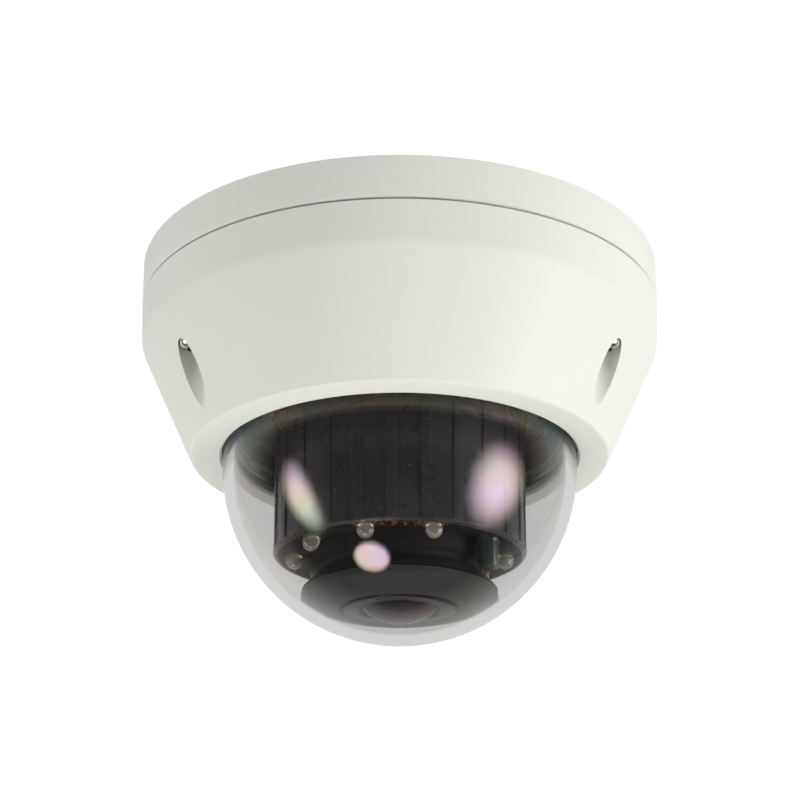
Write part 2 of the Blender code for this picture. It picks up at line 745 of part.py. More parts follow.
def make_led_board(m, module):
    board = turned(
        "led_board",
        tube_outline(24.6 * MM, 32.3 * MM, LED_BOARD_BOTTOM_Z, LED_BOARD_TOP_Z),
        m["gilt_board"], module,
    )
    low, high = LED_BOARD_BOTTOM_Z - MM, LED_BOARD_TOP_Z + MM
    holes = rods(1.5 * MM, low, high, LED_BOARD_SCREW_AZIMUTHS, LED_BOARD_SCREW_CIRCLE, TINY)
    cut(board, spread("led_board_holes", m["gilt_board"], holes))
    mesh = screw_mesh(
        "led_board_screw", 2.2 * MM, -82.8 * MM, LED_BASE_Z, 1.0 * MM, -74.5 * MM
    )
    pieces(
        "led_board_screw", mesh, LED_BOARD_SCREW_AZIMUTHS, LED_BOARD_SCREW_CIRCLE,
        m["steel"], module,
    )


def make_leds(m, module):
    """Infrared diodes of 4.8 mm with a flange and a round tip, and the light sensor."""
    flange, body, neck, tip = 2.9 * MM, 2.4 * MM, -82.4 * MM, -88.7 * MM
    outline = [(0, LED_BASE_Z), (flange, LED_BASE_Z), (flange, neck), (body, neck)]
    outline += arc((0, tip + body), body, 0, -90, 3)[:-1] + [(0, tip)]
    mesh = turned_mesh("ir_led", outline, TINY)
    pieces("ir_led", mesh, LED_AZIMUTHS, LED_CIRCLE_RADIUS, m["led_epoxy"], module)
    outline = [(0, LED_BASE_Z), (3.0 * MM, LED_BASE_Z)] + mm(
        (3.0, -85.6), (2.6, -86.0), (2.6, -92.3), (2.3, -92.6), (0, -92.6)
    )
    turned(
        "light_sensor", outline, m["tinted_plastic"], module, SMALL,
        around(SENSOR_AZIMUTH, LED_CIRCLE_RADIUS),
    )


def make_led_mask(m, module):
    mask = turned(
        "led_mask", tube_outline(24.6 * MM, 32.4 * MM, MASK_BOTTOM_Z, MASK_TOP_Z),
        m["black_plastic"], module,
    )
    low, high = MASK_BOTTOM_Z - MM, MASK_TOP_Z + MM
    holes = spread(
        "mask_holes", m["black_plastic"],
        rods(3.0 * MM, low, high, LED_AZIMUTHS, LED_CIRCLE_RADIUS),
        rods(2.6 * MM, low, high, SPARE_HOLE_AZIMUTHS, LED_CIRCLE_RADIUS),
        rods(3.4 * MM, low, high, (SENSOR_AZIMUTH,), LED_CIRCLE_RADIUS),
    )
    cut(mask, holes)


def make_lens_shroud(m, module):
    """The bell round the lens, which hangs by its flange from the LED board."""
    outline = mm(
        (27.5, -77.9), (27.5, -79.2), (24.2, -79.2), (24.2, -89.0), (22.6, -89.7),
        (22.6, -91.0), (26.2, -94.5), (15.6, -94.5), (15.6, -92.9), (20.6, -92.9),
        (20.9, -89.5), (22.6, -88.4), (22.6, -77.9),
    )
    turned("lens_shroud", outline, m["black_plastic"], module)


def make_isolation_ring(m, module):
    """Soft ring that fills the space between the lens and the dome, to keep stray light out."""
    reach = DOME_RADIUS - DOME_WALL - 0.8 * MM
    start, end = math.degrees(math.acos(26.2 * MM / reach)), math.degrees(
        math.acos(20.0 * MM / reach)
    )
    outline = mm((15.9, -94.8), (26.2, -94.8))
    outline += arc((0, DOME_CENTRE_Z), reach, -start, -end, 3)
    outline += mm((19.0, -100.3), (15.9, -99.2))
    turned("isolation_ring", outline, m["black_rubber"], module)


def make_sensor_board(m, module):
    box(
        "sensor_board", Vector((-22, -20, -59.3)) * MM, Vector((22, 22, -57.9)) * MM,
        m["green_board"], module,
    )
    box(
        "image_sensor", Vector((-5.5, -4.75, -61.4)) * MM,
        Vector((5.5, 4.75, 0)) * MM + Vector((0, 0, SENSOR_BOARD_BOTTOM_Z - GAP)),
        m["black_anodised"], module, 0.2 * MM,
    )


def make_lens_mount(m, module):
    """The box below the image sensor that holds the filter, its lever and the lens."""
    finish = m["black_plastic"]
    low, high = Vector((-16.5, -9.0, -71.0)) * MM, Vector((16.5, 21.0, -59.6)) * MM
    mount = box("lens_mount", low, high, finish, module)
    tube = rod(9.6 * MM, -77.5 * MM, -70.0 * MM, steps=MIDDLE)
    join(mount, spread("lens_mount_tube", finish, tube))
    cavity = box(
        "filter_cavity", Vector((-14.7, -7.3, -69.4)) * MM, Vector((14.7, 19.3, -58.0)) * MM,
        finish, None,
    )
    cut(mount, cavity)
    cut(mount, spread("lens_bore", finish, rod(7.4 * MM, -79.0 * MM, -68.0 * MM, steps=MIDDLE)))
    rail = box_mesh(
        "filter_rail", Vector((-3.75, -0.5, -70.0)) * MM, Vector((3.75, 0.5, -64.3)) * MM
    )
    places = [((x * MM, y * MM, 0), 0) for x in (-11.75, 11.75) for y in (-5.0, 3.4)]
    pivot = rod(0.7 * MM, -70.0 * MM, -60.5 * MM, (0, LEVER_PIVOT_Y, 0), TINY)
    join(mount, spread("filter_rails", finish, (rail, places), pivot))
    along_x = Matrix.Rotation(math.pi / 2, 4, "Y")
    hole = turned_mesh("grub_hole", rod_outline(1.2 * MM, 6.0 * MM, 12.0 * MM), TINY)
    hole.transform(along_x)
    grub_z = -74.5 * MM
    cut(mount, link("grub_hole", hole, finish, None, (0, 0, grub_z)))
    grub = turned_mesh("lens_grub_screw", rod_outline(0.9 * MM, 7.45 * MM, 9.9 * MM), TINY)
    grub.transform(along_x)
    link("lens_grub_screw", grub, m["steel"], module, (0, 0, grub_z))


def make_day_night_filter(m, module, slider_axis, lever_axis):
    """The slider with its two windows, the lever that pushes it and the lever's coil."""
    top, low = -62.6 * MM, -64.0 * MM
    middle = FILTER_TRAVEL / 2
    slider = box(
        "filter_slider", (middle - 9.75 * MM, -6.3 * MM, low),
        (middle + 9.75 * MM, 6.3 * MM, top), m["white_nylon"], slider_axis,
    )
    tab = box(
        "slider_tab", (middle - 2.4 * MM, 5.0 * MM, low), (middle + 2.4 * MM, 9.2 * MM, top),
        m["white_nylon"], None,
    )
    join(slider, tab)
    window = 3.5 * MM
    square = box_mesh(
        "window", (-window, -window, low - MM), (window, window, top + MM)
    )
    windows = {"ir_cut_glass": 0.0, "clear_glass": FILTER_TRAVEL}
    slot = box_mesh(
        "slider_slot", (-0.95 * MM, 4.8 * MM, low - MM), (0.95 * MM, 8.1 * MM, top + MM)
    )
    openings = spread(
        "slider_openings", m["white_nylon"],
        (square, [((x, 0, 0), 0) for x in windows.values()]),
        (slot, [((middle, 0, 0), 0)]),
    )
    cut(slider, openings)
    for name, x in windows.items():
        finish = m["filter_glass"] if name == "ir_cut_glass" else m["lens_glass"]
        low_corner = (x - 3.9 * MM, -4.1 * MM, top + GAP)
        high_corner = (x + 3.9 * MM, 4.1 * MM, top + 0.8 * MM)
        box(name, low_corner, high_corner, finish, slider_axis)

    pivot = Vector((0, LEVER_PIVOT_Y, 0))
    pin_reach = LEVER_ARM * math.cos(LEVER_HALF_SWING)
    rotor = turned(
        "filter_lever", tube_outline(1.0 * MM, 3.2 * MM, -68.9 * MM, -61.2 * MM),
        m["black_anodised"], lever_axis, SMALL, pivot,
    )
    half = 1.1 * MM
    arm = box(
        "lever_arm", (-half, -LEVER_ARM - half, -65.6 * MM), (half, -2.0 * MM, -64.4 * MM),
        m["black_anodised"], None,
    )
    arm.location = pivot
    arm.rotation_euler.z = LEVER_HALF_SWING
    join(rotor, arm)
    pin = rod(0.6 * MM, -65.0 * MM, -61.9 * MM, (middle, LEVER_PIVOT_Y - pin_reach, 0), TINY)
    join(rotor, spread("lever_pin", m["black_anodised"], pin))
    box(
        "filter_coil", Vector((5.5, 11.5, -68.8)) * MM, Vector((13.5, 19.0, -61.5)) * MM,
        m["copper_winding"], module, 0.4 * MM,
    )


def make_lens(m, module):
    barrel = mm(
        (5.2, -67.0), (7.0, -67.0), (7.0, -78.0), (10.5, -78.0), (10.5, -88.0), (15.2, -90.0),
        (15.2, -98.4), (10.5, -98.4), (10.5, -96.6), (8.4, -96.6), (8.4, -80.5), (5.2, -79.0),
    )
    turned("lens_barrel", barrel, m["black_anodised"], module)

    rear = [(0, -69.0 * MM), (4.9 * MM, -70.0 * MM), (4.9 * MM, -72.0 * MM), (0, -73.5 * MM)]
    turned("lens_rear_element", rear, m["lens_glass"], module, SMALL)
    middle = [(0, -85.5 * MM), (8.1 * MM, -83.5 * MM), (8.1 * MM, -87.5 * MM), (0, -88.5 * MM)]
    turned("lens_middle_element", middle, m["lens_glass"], module, SMALL)

    rim, rim_z, apex_z, inner_rim, inner_apex_z = (
        10.1 * MM, -99.4 * MM, -103.0 * MM, 8.6 * MM, -99.9 * MM,
    )
    shelf_z = -96.9 * MM
    outline = cap_outline(rim, rim_z, apex_z) + [(rim, shelf_z), (inner_rim, shelf_z)]
    outline += cap_outline(inner_rim - 0.4 * MM, shelf_z, inner_apex_z)[::-1]
    turned("lens_front_element", outline, m["lens_glass"], module)

    ring = turned(
        "lens_retaining_ring", tube_outline(10.4 * MM, 15.2 * MM, -99.9 * MM, -98.7 * MM),
        m["black_anodised"], module,
    )
    holes = rods(0.6 * MM, -101.0 * MM, -99.2 * MM, (155, 335), 13.2 * MM, TINY)
    cut(ring, spread("spanner_holes", m["black_anodised"], holes))


def cap_outline(rim, rim_z, apex_z, steps=4):
    """Points from the axis to the rim along a spherical cap."""
    depth = abs(apex_z - rim_z)
    radius = (rim * rim + depth * depth) / (2 * depth)
    centre_z = apex_z + radius
    half = math.asin(rim / radius)
    angles = [half * i / steps for i in range(steps + 1)]
    return [(radius * math.sin(a), centre_z - radius * math.cos(a)) for a in angles]


# ---------------------------------------------------------------- the whole camera


def main():
    clear_scene()
    m = make_materials()

    base = empty("base")
    make_base_housing(m, base)
    make_cable_grommet(m, base)
    make_body_gasket(m, base)
    make_main_board(m, base)
    make_network_socket(m, base)
    make_power_terminal(m, base)
    make_processor_heatsink(m, base)
    make_card_socket(m, base)
    make_reset_switch(m, base, empty("reset_button_axis", RESET_PLACE))
    make_bracket(m, base)
    make_inner_liner(m, base)

    cover = empty("cover_axis")
    make_cover_shell(m, cover)
    make_dome_bubble(m, cover)
    make_dome_seal(m, cover)
    make_dome_retainer(m, cover)
    screw_axes = {
        side: empty(f"cover_screw_{side}_axis", around(azimuth, COVER_SCREW_CIRCLE))
        for azimuth, side in SCREW_SIDES.items()
    }
    make_cover_screws(m, screw_axes)

    module = empty("module_axis")
    make_module_housing(m, module)
    make_turntable(m, module)
    make_led_board(m, module)
    make_leds(m, module)
    make_led_mask(m, module)
    make_lens_shroud(m, module)
    make_isolation_ring(m, module)
    make_sensor_board(m, module)
    make_lens_mount(m, module)
    slider_axis = empty("filter_slider_axis")
    lever_axis = empty("filter_lever_axis", (0, LEVER_PIVOT_Y, 0))
    make_day_night_filter(m, module, slider_axis, lever_axis)
    make_lens(m, module)
    weld_cut_edges()


main()
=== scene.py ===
"""Makes the finished look of a ceiling dome camera round its jointed frame.

Heights are below the ceiling face, so they are negative. The front is -Y, and an azimuth is
counted from the front towards +X. Sizes in the sections are in millimetres.
"""

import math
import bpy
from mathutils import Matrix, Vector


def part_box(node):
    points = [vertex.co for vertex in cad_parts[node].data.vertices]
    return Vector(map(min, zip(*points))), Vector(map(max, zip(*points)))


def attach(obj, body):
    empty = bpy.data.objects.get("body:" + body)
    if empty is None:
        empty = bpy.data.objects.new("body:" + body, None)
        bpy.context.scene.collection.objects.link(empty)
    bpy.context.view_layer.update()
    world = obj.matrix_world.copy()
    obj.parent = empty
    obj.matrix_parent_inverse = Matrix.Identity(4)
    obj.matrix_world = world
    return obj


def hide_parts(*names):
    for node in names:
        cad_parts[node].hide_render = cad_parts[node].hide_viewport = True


bl_info = {
    "name": "Dome Camera Maker",
    "version": (1, 0, 0),
    "blender": (4, 5, 0),
    "location": "View3D > Sidebar > Dome Camera",
    "description": "Models a ceiling dome camera with a turning fisheye module",
    "category": "Add Mesh",
}

import bmesh
import bpy
from mathutils import Vector

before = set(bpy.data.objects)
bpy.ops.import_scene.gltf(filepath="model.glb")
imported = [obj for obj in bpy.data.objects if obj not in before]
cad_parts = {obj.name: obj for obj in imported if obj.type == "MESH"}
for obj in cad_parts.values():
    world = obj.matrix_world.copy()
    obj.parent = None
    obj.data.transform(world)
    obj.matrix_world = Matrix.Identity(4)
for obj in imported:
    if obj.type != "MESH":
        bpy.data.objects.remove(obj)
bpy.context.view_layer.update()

MM = 0.001
BODY_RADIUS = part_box("base_housing")[1].x
BODY_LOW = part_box("cover_shell")[0].z
DOME_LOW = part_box("dome_bubble")[0].z
DOME_RADIUS = 49.1 * MM
DOME_CENTRE_Z = DOME_LOW + DOME_RADIUS

# Rings of equal features: their azimuths, and the radius of their circle in millimetres.
COVER_SCREWS, COVER_SCREW_CIRCLE = {"left": -60, "right": 60, "rear": 180}, 64.2
RETAINER_SCREWS, RETAINER_SCREW_CIRCLE = (0, 120, 240), 55.2
BRACKET_POSTS, BRACKET_POST_CIRCLE = (0, 120, 240), 54.0
BOARD_POSTS, BOARD_POST_CIRCLE = (45, 135, 225, 315), 44.0
CEILING_HOLES, CEILING_HOLE_CIRCLE = (30, 150, 270), 60.0
LINER_LEGS, LINER_LEG_CIRCLE = (30, 150, 270), 49.0
POCKET_CIRCLE, CABLE_HOLE_CIRCLE = 64.0, 36.0
LAMP_BOARD_POSTS, LAMP_BOARD_POST_CIRCLE = (72, 252), 30
LAMP_CIRCLE, SENSOR_AZIMUTH, SPARE_HOLES = 28.6, 54, (-6, 6)
LAMP_AZIMUTHS = [a for a in range(18, 360, 36) if a != SENSOR_AZIMUTH]
SPANNER_HOLES, SPANNER_HOLE_CIRCLE = (155, 335), 13.4
RIBS = 24
SENSOR_POST = (19.6, 16)  # X and Y of the first of the sensor board's four posts


# ---- settings ----


class CameraSizes(bpy.types.PropertyGroup):
    """The sizes that a user would change."""

    facets: bpy.props.IntProperty(
        name="Facets", description="Sides of the largest rings", default=192, min=48, max=384
    )
    crease: bpy.props.FloatProperty(
        name="Crease", description="Width of the round between the cover's wall and cone",
        default=0.0011, unit="LENGTH",
    )
    dome_wall: bpy.props.FloatProperty(
        name="Dome wall", description="Thickness of the clear dome", default=0.003,
        unit="LENGTH",
    )
    rib_height: bpy.props.FloatProperty(
        name="Rib height", description="How far the turning module's ribs stand out",
        default=0.00045, unit="LENGTH",
    )
    floor_height: bpy.props.FloatProperty(
        name="Floor", description="Height of the floor below the ceiling", default=-1.9,
        unit="LENGTH",
    )


class CameraColours(bpy.types.PropertyGroup):
    """The colours that a user would change."""

    paint: bpy.props.FloatVectorProperty(
        name="Paint", description="Colour of the powder coat", subtype="COLOR",
        default=(0.70, 0.70, 0.645),
    )
    moulding: bpy.props.FloatVectorProperty(
        name="Mouldings", description="Colour of the black mouldings", subtype="COLOR",
        default=(0.028, 0.027, 0.0285),
    )
    floor: bpy.props.FloatVectorProperty(
        name="Floor", description="Colour of the studio floor", subtype="COLOR",
        default=(0.86, 0.86, 0.85),
    )


# ---- finishes ----


def give(tree, socket, value):
    """Sets a socket to a value, or joins another socket to it."""
    if isinstance(value, bpy.types.NodeSocket):
        tree.links.new(value, socket)
    else:
        socket.default_value = value


def add(tree, kind, inputs=None, **settings):
    """A new node with its settings, and each input set to a value or joined to a socket."""
    made = tree.nodes.new(kind)
    for key, value in settings.items():
        setattr(made, key, value)
    for key, value in (inputs or {}).items():
        give(tree, made.inputs[key], value)
    return made


def place_on(tree):
    """The place on the object, which every pattern is counted from."""
    return add(tree, "ShaderNodeTexCoord").outputs["Object"]


def reckon(tree, operation, first, second):
    """The result of a Math node."""
    return add(tree, "ShaderNodeMath", {0: first, 1: second}, operation=operation).outputs[0]


def mixed(tree, factor, first, second):
    """A colour between two colours."""
    made = add(tree, "ShaderNodeMix", {0: factor, 6: first, 7: second}, data_type="RGBA")
    return made.outputs[2]


def ranged(tree, value, low, high, start=0.0, end=1.0, **settings):
    """The value, stretched from start..end to low..high."""
    made = add(
        tree, "ShaderNodeMapRange",
        {"Value": value, "From Min": start, "From Max": end, "To Min": low, "To Max": high},
        **settings,
    )
    return made.outputs["Result"]


def rare_cells(tree, scale, size, channel, share, **settings):
    """A mask of small cells, of which only a share is there."""
    cells = add(
        tree, "ShaderNodeTexVoronoi", {"Vector": place_on(tree), "Scale": scale}, **settings
    )
    small = reckon(tree, "LESS_THAN", cells.outputs["Distance"], size)
    chance = add(tree, "ShaderNodeSeparateColor", {"Color": cells.outputs["Color"]})
    rare = reckon(tree, "LESS_THAN", chance.outputs[channel], share)
    return reckon(tree, "MULTIPLY", small, rare)


def effect(name, inputs, outputs):
    """A new shader group: (tree, its input sockets, its output node). Each input has a
    default, and each output a kind of socket."""
    tree = bpy.data.node_groups.new(name, "ShaderNodeTree")
    kinds = {3: "NodeSocketVector", 4: "NodeSocketColor"}
    for socket, default in inputs.items():
        kind = kinds[len(default)] if isinstance(default, tuple) else "NodeSocketFloat"
        made = tree.interface.new_socket(socket, in_out="INPUT", socket_type=kind)
        made.default_value = default
    for socket, kind in outputs.items():
        kind = f"NodeSocket{kind}"
        tree.interface.new_socket(socket, in_out="OUTPUT", socket_type=kind)
    return tree, add(tree, "NodeGroupInput").outputs, add(tree, "NodeGroupOutput")


def uneven_group():
    """A colour that varies a little, in soft clouds, and a roughness that goes with it."""
    tree, given, out = effect(
        "uneven_finish",
        {"Colour": (0.5, 0.5, 0.5, 1), "Shade": (0.4, 0.4, 0.4, 1), "Scale": 60.0,
         "Amount": 0.3, "Smoothest": 0.3, "Roughest": 0.5},
        {"Colour": "Color", "Roughness": "Float"},
    )
    clouds = add(
        tree, "ShaderNodeTexNoise",
        {"Vector": place_on(tree), "Scale": given["Scale"], "Detail": 5.0,
         "Roughness": 0.6},
    ).outputs["Fac"]
    part = reckon(tree, "MULTIPLY", clouds, given["Amount"])
    give(tree, out.inputs["Colour"], mixed(tree, part, given["Colour"], given["Shade"]))
    rough = ranged(tree, clouds, given["Smoothest"], given["Roughest"], 0.3, 0.7)
    give(tree, out.inputs["Roughness"], rough)
    return tree


def grain_group():
    """The height of a fine grain, such as powder coat's orange peel or a spark-eroded mould."""
    tree, given, out = effect(
        "fine_grain", {"Scale": 2000.0, "Peel": 0.5}, {"Height": "Float"}
    )
    place = place_on(tree)
    fine = add(
        tree, "ShaderNodeTexNoise",
        {"Vector": place, "Scale": given["Scale"], "Detail": 3.0, "Roughness": 0.65},
    ).outputs["Fac"]
    wide = reckon(tree, "MULTIPLY", given["Scale"], 0.3)
    peel = add(
        tree, "ShaderNodeTexVoronoi", {"Vector": place, "Scale": wide}, feature="SMOOTH_F1"
    ).outputs["Distance"]
    swell = reckon(tree, "MULTIPLY", peel, given["Peel"])
    give(tree, out.inputs["Height"], reckon(tree, "ADD", fine, swell))
    return tree


def specks_group():
    """A mask of a few small specks of dust."""
    tree, given, out = effect(
        "dust_specks", {"Scale": 600.0, "Size": 0.1}, {"Mask": "Float"}
    )
    specks = rare_cells(tree, given["Scale"], given["Size"], "Red", 0.12)
    give(tree, out.inputs["Mask"], specks)
    return tree


def drawn_group():
    """Fine lines along one direction, as on brushed or drawn metal."""
    tree, given, out = effect(
        "drawn_lines", {"Scale": 900.0, "Stretch": (1, 1, 0.05)}, {"Value": "Float"}
    )
    spread = add(
        tree, "ShaderNodeVectorMath", {0: place_on(tree), 1: given["Stretch"]},
        operation="MULTIPLY",
    )
    lines = add(
        tree, "ShaderNodeTexNoise",
        {"Vector": spread.outputs[0], "Scale": given["Scale"], "Detail": 2.0},
    )
    give(tree, out.inputs["Value"], lines.outputs["Fac"])
    return tree


GROUPS = {
    "uneven_finish": uneven_group,
    "fine_grain": grain_group,
    "dust_specks": specks_group,
    "drawn_lines": drawn_group,
}


def use_group(tree, name, inputs):
    """The outputs of a placed effect, with its inputs set or joined."""
    made = bpy.data.node_groups.get(name) or GROUPS[name]()
    return add(tree, "ShaderNodeGroup", inputs, node_tree=made).outputs


def principled(tree, inputs, sockets, relief=None):
    """A Principled shader. The relief is a height, its strength and its depth in metres."""
    body = add(tree, "ShaderNodeBsdfPrincipled", inputs)
    if relief:
        height, strength, depth = relief
        bump = add(
            tree, "ShaderNodeBump",
            {"Height": height, "Strength": strength, "Distance": depth},
        )
        give(tree, body.inputs["Normal"], bump.outputs["Normal"])
    for key, value in sockets.items():
        body.inputs[key.replace("_", " ")].default_value = value
    return body.outputs[0]


def rgba(colour):
    """Four values for a colour, which may be a multiple of one of the user's colours."""
    if isinstance(colour[0], str):
        name, factor = colour
        colour = Vector(getattr(bpy.context.scene.camera_colours, name)) * factor
    return (*colour, 1)


def solid_finish(
    tree, colour, shade, smooth, rough, scale=60.0, amount=0.5, grain=2000.0, peel=0.5,
    bump=0.2, depth=0.00003, dust=0.0, **sockets,
):
    """A surface whose colour, roughness and height all vary over it."""
    uneven = use_group(
        tree, "uneven_finish",
        {"Colour": rgba(colour), "Shade": rgba(shade), "Scale": scale, "Amount": amount,
         "Smoothest": smooth, "Roughest": rough},
    )
    paint = uneven["Colour"]
    if dust:
        specks = use_group(tree, "dust_specks", {"Scale": 420.0, "Size": dust})
        paint = mixed(tree, specks["Mask"], paint, (0.32, 0.31, 0.3, 1))
    height = use_group(tree, "fine_grain", {"Scale": grain, "Peel": peel})["Height"]
    return principled(
        tree, {"Base Color": paint, "Roughness": uneven["Roughness"]}, sockets,
        (height, bump, depth),
    )


def metal(tree, colour, smooth, rough, stretch=(1, 1, 0.06), scale=1500.0):
    """A metal with fine lines in it."""
    lines = use_group(tree, "drawn_lines", {"Scale": scale, "Stretch": stretch})["Value"]
    dark = tuple(0.8 * c for c in colour)
    return principled(
        tree,
        {"Base Color": mixed(tree, lines, rgba(dark), rgba(colour)),
         "Roughness": ranged(tree, lines, smooth, rough, 0.3, 0.7)},
        {"Metallic": 1.0}, (lines, 0.12, 0.00002),
    )


def glass(tree, colour, tint, scale, roughest, film=None, clarity=1.0, **sockets):
    """A clear body with faint smears. It lets lamps through with a tint, so what is inside
    it is lit. The film is a linked thickness in nanometres."""
    smears = use_group(
        tree, "uneven_finish",
        {"Scale": scale, "Amount": 0.5, "Smoothest": 0.0, "Roughest": roughest},
    )
    inputs = {"Base Color": rgba(colour), "Roughness": smears["Roughness"]}
    if film:
        inputs["Thin Film Thickness"] = film
    body = principled(tree, inputs, {"Transmission Weight": clarity, **sockets})
    clear = add(tree, "ShaderNodeBsdfTransparent", {"Color": rgba(tint)})
    shadow = add(tree, "ShaderNodeLightPath").outputs["Is Shadow Ray"]
    joined = add(
        tree, "ShaderNodeMixShader", {0: shadow, 1: body, 2: clear.outputs[0]}
    )
    return joined.outputs[0]


def coated_dome(tree, colour, tint):
    """Clear plastic with a hard coat whose thickness, and so its colour, drifts."""
    flow = add(
        tree, "ShaderNodeTexNoise", {"Vector": place_on(tree), "Scale": 45.0, "Detail": 1.0}
    ).outputs["Fac"]
    film = ranged(tree, flow, 390.0, 500.0, 0.35, 0.65)
    return glass(tree, colour, tint, 28.0, 0.012, film, IOR=1.49,
                 Thin_Film_IOR=1.43)


def winding(tree, dark, light):
    """Turns of lacquered wire, darker towards the grooves between the turns: painted shade,
    from the same bands as the relief.
    """
    turns = add(
        tree, "ShaderNodeTexWave",
        {"Vector": place_on(tree), "Scale": 900.0, "Distortion": 0.6, "Detail": 1.0},
        bands_direction="Z",
    ).outputs["Fac"]
    return principled(
        tree,
        {"Base Color": mixed(tree, turns, rgba(dark), rgba(light)),
         "Roughness": ranged(tree, turns, 0.45, 0.25)},
        {"Metallic": 0.9}, (turns, 0.8, 0.00008),
    )


def board_finish(tree, mask, track, tin):
    """Solder mask over copper tracks, with tinned pads here and there."""
    tracks = add(
        tree, "ShaderNodeTexBrick",
        {"Vector": place_on(tree), "Scale": 190.0, "Mortar Size": 0.05,
         "Brick Width": 0.9, "Row Height": 0.16, "Color1": (0, 0, 0, 1),
         "Color2": (0.25, 0.25, 0.25, 1), "Mortar": (1, 1, 1, 1)},
    ).outputs["Color"]
    green = mixed(tree, tracks, rgba(mask), rgba(track))
    tinned = rare_cells(tree, 330.0, 0.16, "Green", 0.3, distance="CHEBYCHEV")
    return principled(
        tree,
        {"Base Color": mixed(tree, tinned, green, rgba(tin)), "Metallic": tinned,
         "Roughness": ranged(tree, tinned, 0.38, 0.25)},
        {}, (tracks, 0.5, 0.00004),
    )


# Name: the function, its values in order, and its other settings.
FINISHES = {
    "powder_coat": (
        solid_finish, (("paint", 1.0), ("paint", 0.97), 0.5, 0.6),
        dict(scale=35.0, amount=0.6, grain=2600.0, peel=0.6, bump=0.45, depth=0.00006,
             Specular_IOR_Level=0.4),
    ),
    "black_moulding": (
        solid_finish, (("moulding", 1.0), ("moulding", 1.4), 0.24, 0.34),
        dict(scale=90.0, amount=0.4, grain=3000.0, peel=0.1, bump=0.08, depth=0.00002,
             dust=0.1),
    ),
    "matt_black": (
        solid_finish, (("moulding", 0.25), ("moulding", 0.45), 0.55, 0.7),
        dict(scale=90.0, amount=0.8, grain=2600.0, bump=0.25, depth=0.00003, dust=0.07,
             Specular_IOR_Level=0.2),
    ),
    "black_rubber": (
        solid_finish, ((0.010, 0.010, 0.0105), (0.018, 0.018, 0.018), 0.55, 0.75),
        dict(grain=1800.0, bump=0.3, depth=0.00004, dust=0.06, Specular_IOR_Level=0.2),
    ),
    "grey_silicone": (
        solid_finish, ((0.10, 0.10, 0.095), (0.07, 0.07, 0.07), 0.5, 0.65),
        dict(grain=1500.0, bump=0.2),
    ),
    "tinted_plastic": (
        solid_finish, ((0.006, 0.009, 0.008), (0.012, 0.017, 0.014), 0.06, 0.14),
        dict(grain=1200.0, bump=0.05, depth=0.00001, Coat_Weight=0.6,
             Coat_Roughness=0.04),
    ),
    "black_anodised": (
        solid_finish, ((0.02, 0.02, 0.021), (0.035, 0.035, 0.037), 0.32, 0.46),
        dict(grain=3500.0, bump=0.15, depth=0.00001, Metallic=0.35),
    ),
    "green_terminal": (
        solid_finish, ((0.03, 0.28, 0.10), (0.02, 0.2, 0.07), 0.35, 0.5),
        dict(grain=1500.0, bump=0.15),
    ),
    "white_nylon": (
        solid_finish, ((0.76, 0.75, 0.70), (0.68, 0.67, 0.61), 0.35, 0.5),
        dict(grain=1500.0, bump=0.15, Subsurface_Weight=0.1, Subsurface_Scale=0.002),
    ),
    "studio_floor": (
        solid_finish, (("floor", 1.0), ("floor", 0.97), 0.7, 0.85),
        dict(scale=1.5, amount=0.5, grain=90.0, bump=0.05, depth=0.001),
    ),
    "clear_dome": (coated_dome, ((0.73, 0.724, 0.713), (0.9, 0.9, 0.9)), {}),
    # The lens glass's dark colour is painted shade: it stands in for the dark inside of the
    # lens, where no light gets through.
    "coated_glass": (
        glass, ((0.09, 0.055, 0.075), (0.6, 0.55, 0.62), 300.0, 0.02),
        dict(IOR=1.6, Thin_Film_Thickness=120.0, Thin_Film_IOR=1.38),
    ),
    "filter_glass": (
        glass, ((0.45, 0.8, 0.9), (0.5, 0.8, 0.9), 300.0, 0.03),
        dict(IOR=1.52),
    ),
    "lamp_epoxy": (
        glass, ((1.0, 0.99, 0.96), (0.9, 0.88, 0.84), 700.0, 0.06),
        dict(IOR=1.54, clarity=0.9),
    ),
    "stainless": (metal, ((0.66, 0.65, 0.63), 0.16, 0.3), {}),
    "zinc_plate": (
        metal, ((0.58, 0.59, 0.58), 0.3, 0.45), dict(stretch=(0.05, 1, 1), scale=700.0)
    ),
    "gilt_film": (
        metal, ((0.80, 0.50, 0.27), 0.16, 0.34), dict(stretch=(1, 1, 1), scale=900.0)
    ),
    "lead_frame": (
        metal, ((0.86, 0.74, 0.58), 0.12, 0.26), dict(stretch=(1, 1, 1), scale=2500.0)
    ),
    # The winding's first colour is painted shade in the grooves between the turns.
    "copper_winding": (winding, ((0.28, 0.09, 0.04), (0.72, 0.33, 0.17)), {}),
    "circuit_board": (
        board_finish,
        ((0.012, 0.115, 0.045), (0.03, 0.22, 0.09), (0.75, 0.72, 0.62)), {},
    ),
}


def finish_of(name):
    """The material of that name, made when it is first asked for."""
    made = bpy.data.materials.get(name)
    if made is None:
        made = bpy.data.materials.new(name)
        made.use_nodes = True
        tree = made.node_tree
        tree.nodes.clear()
        make, values, settings = FINISHES[name]
        surface = make(tree, *values, **settings)
        add(tree, "ShaderNodeOutputMaterial", {"Surface": surface})
    return made


# ---- modelling ----


def clear_selection():
    """Deselects everything."""
    for found in bpy.context.selected_objects:
        found.select_set(False)


def choose(ob):
    """Selects this object only, and makes it active."""
    clear_selection()
    ob.select_set(True)
    bpy.context.view_layer.objects.active = ob


def mode(name):
    """Goes to edit mode or back to object mode."""
    bpy.ops.object.mode_set(mode=name)


def around(azimuth, circle):
    """The point at that azimuth on a circle whose radius is in millimetres."""
    turn, radius = math.radians(azimuth), circle * MM
    return Vector((radius * math.sin(turn), -radius * math.cos(turn), 0.0))


def mm(*pairs):
    """Points of (radius, height), from millimetres to metres."""
    return [(radius * MM, height * MM) for radius, height in pairs]


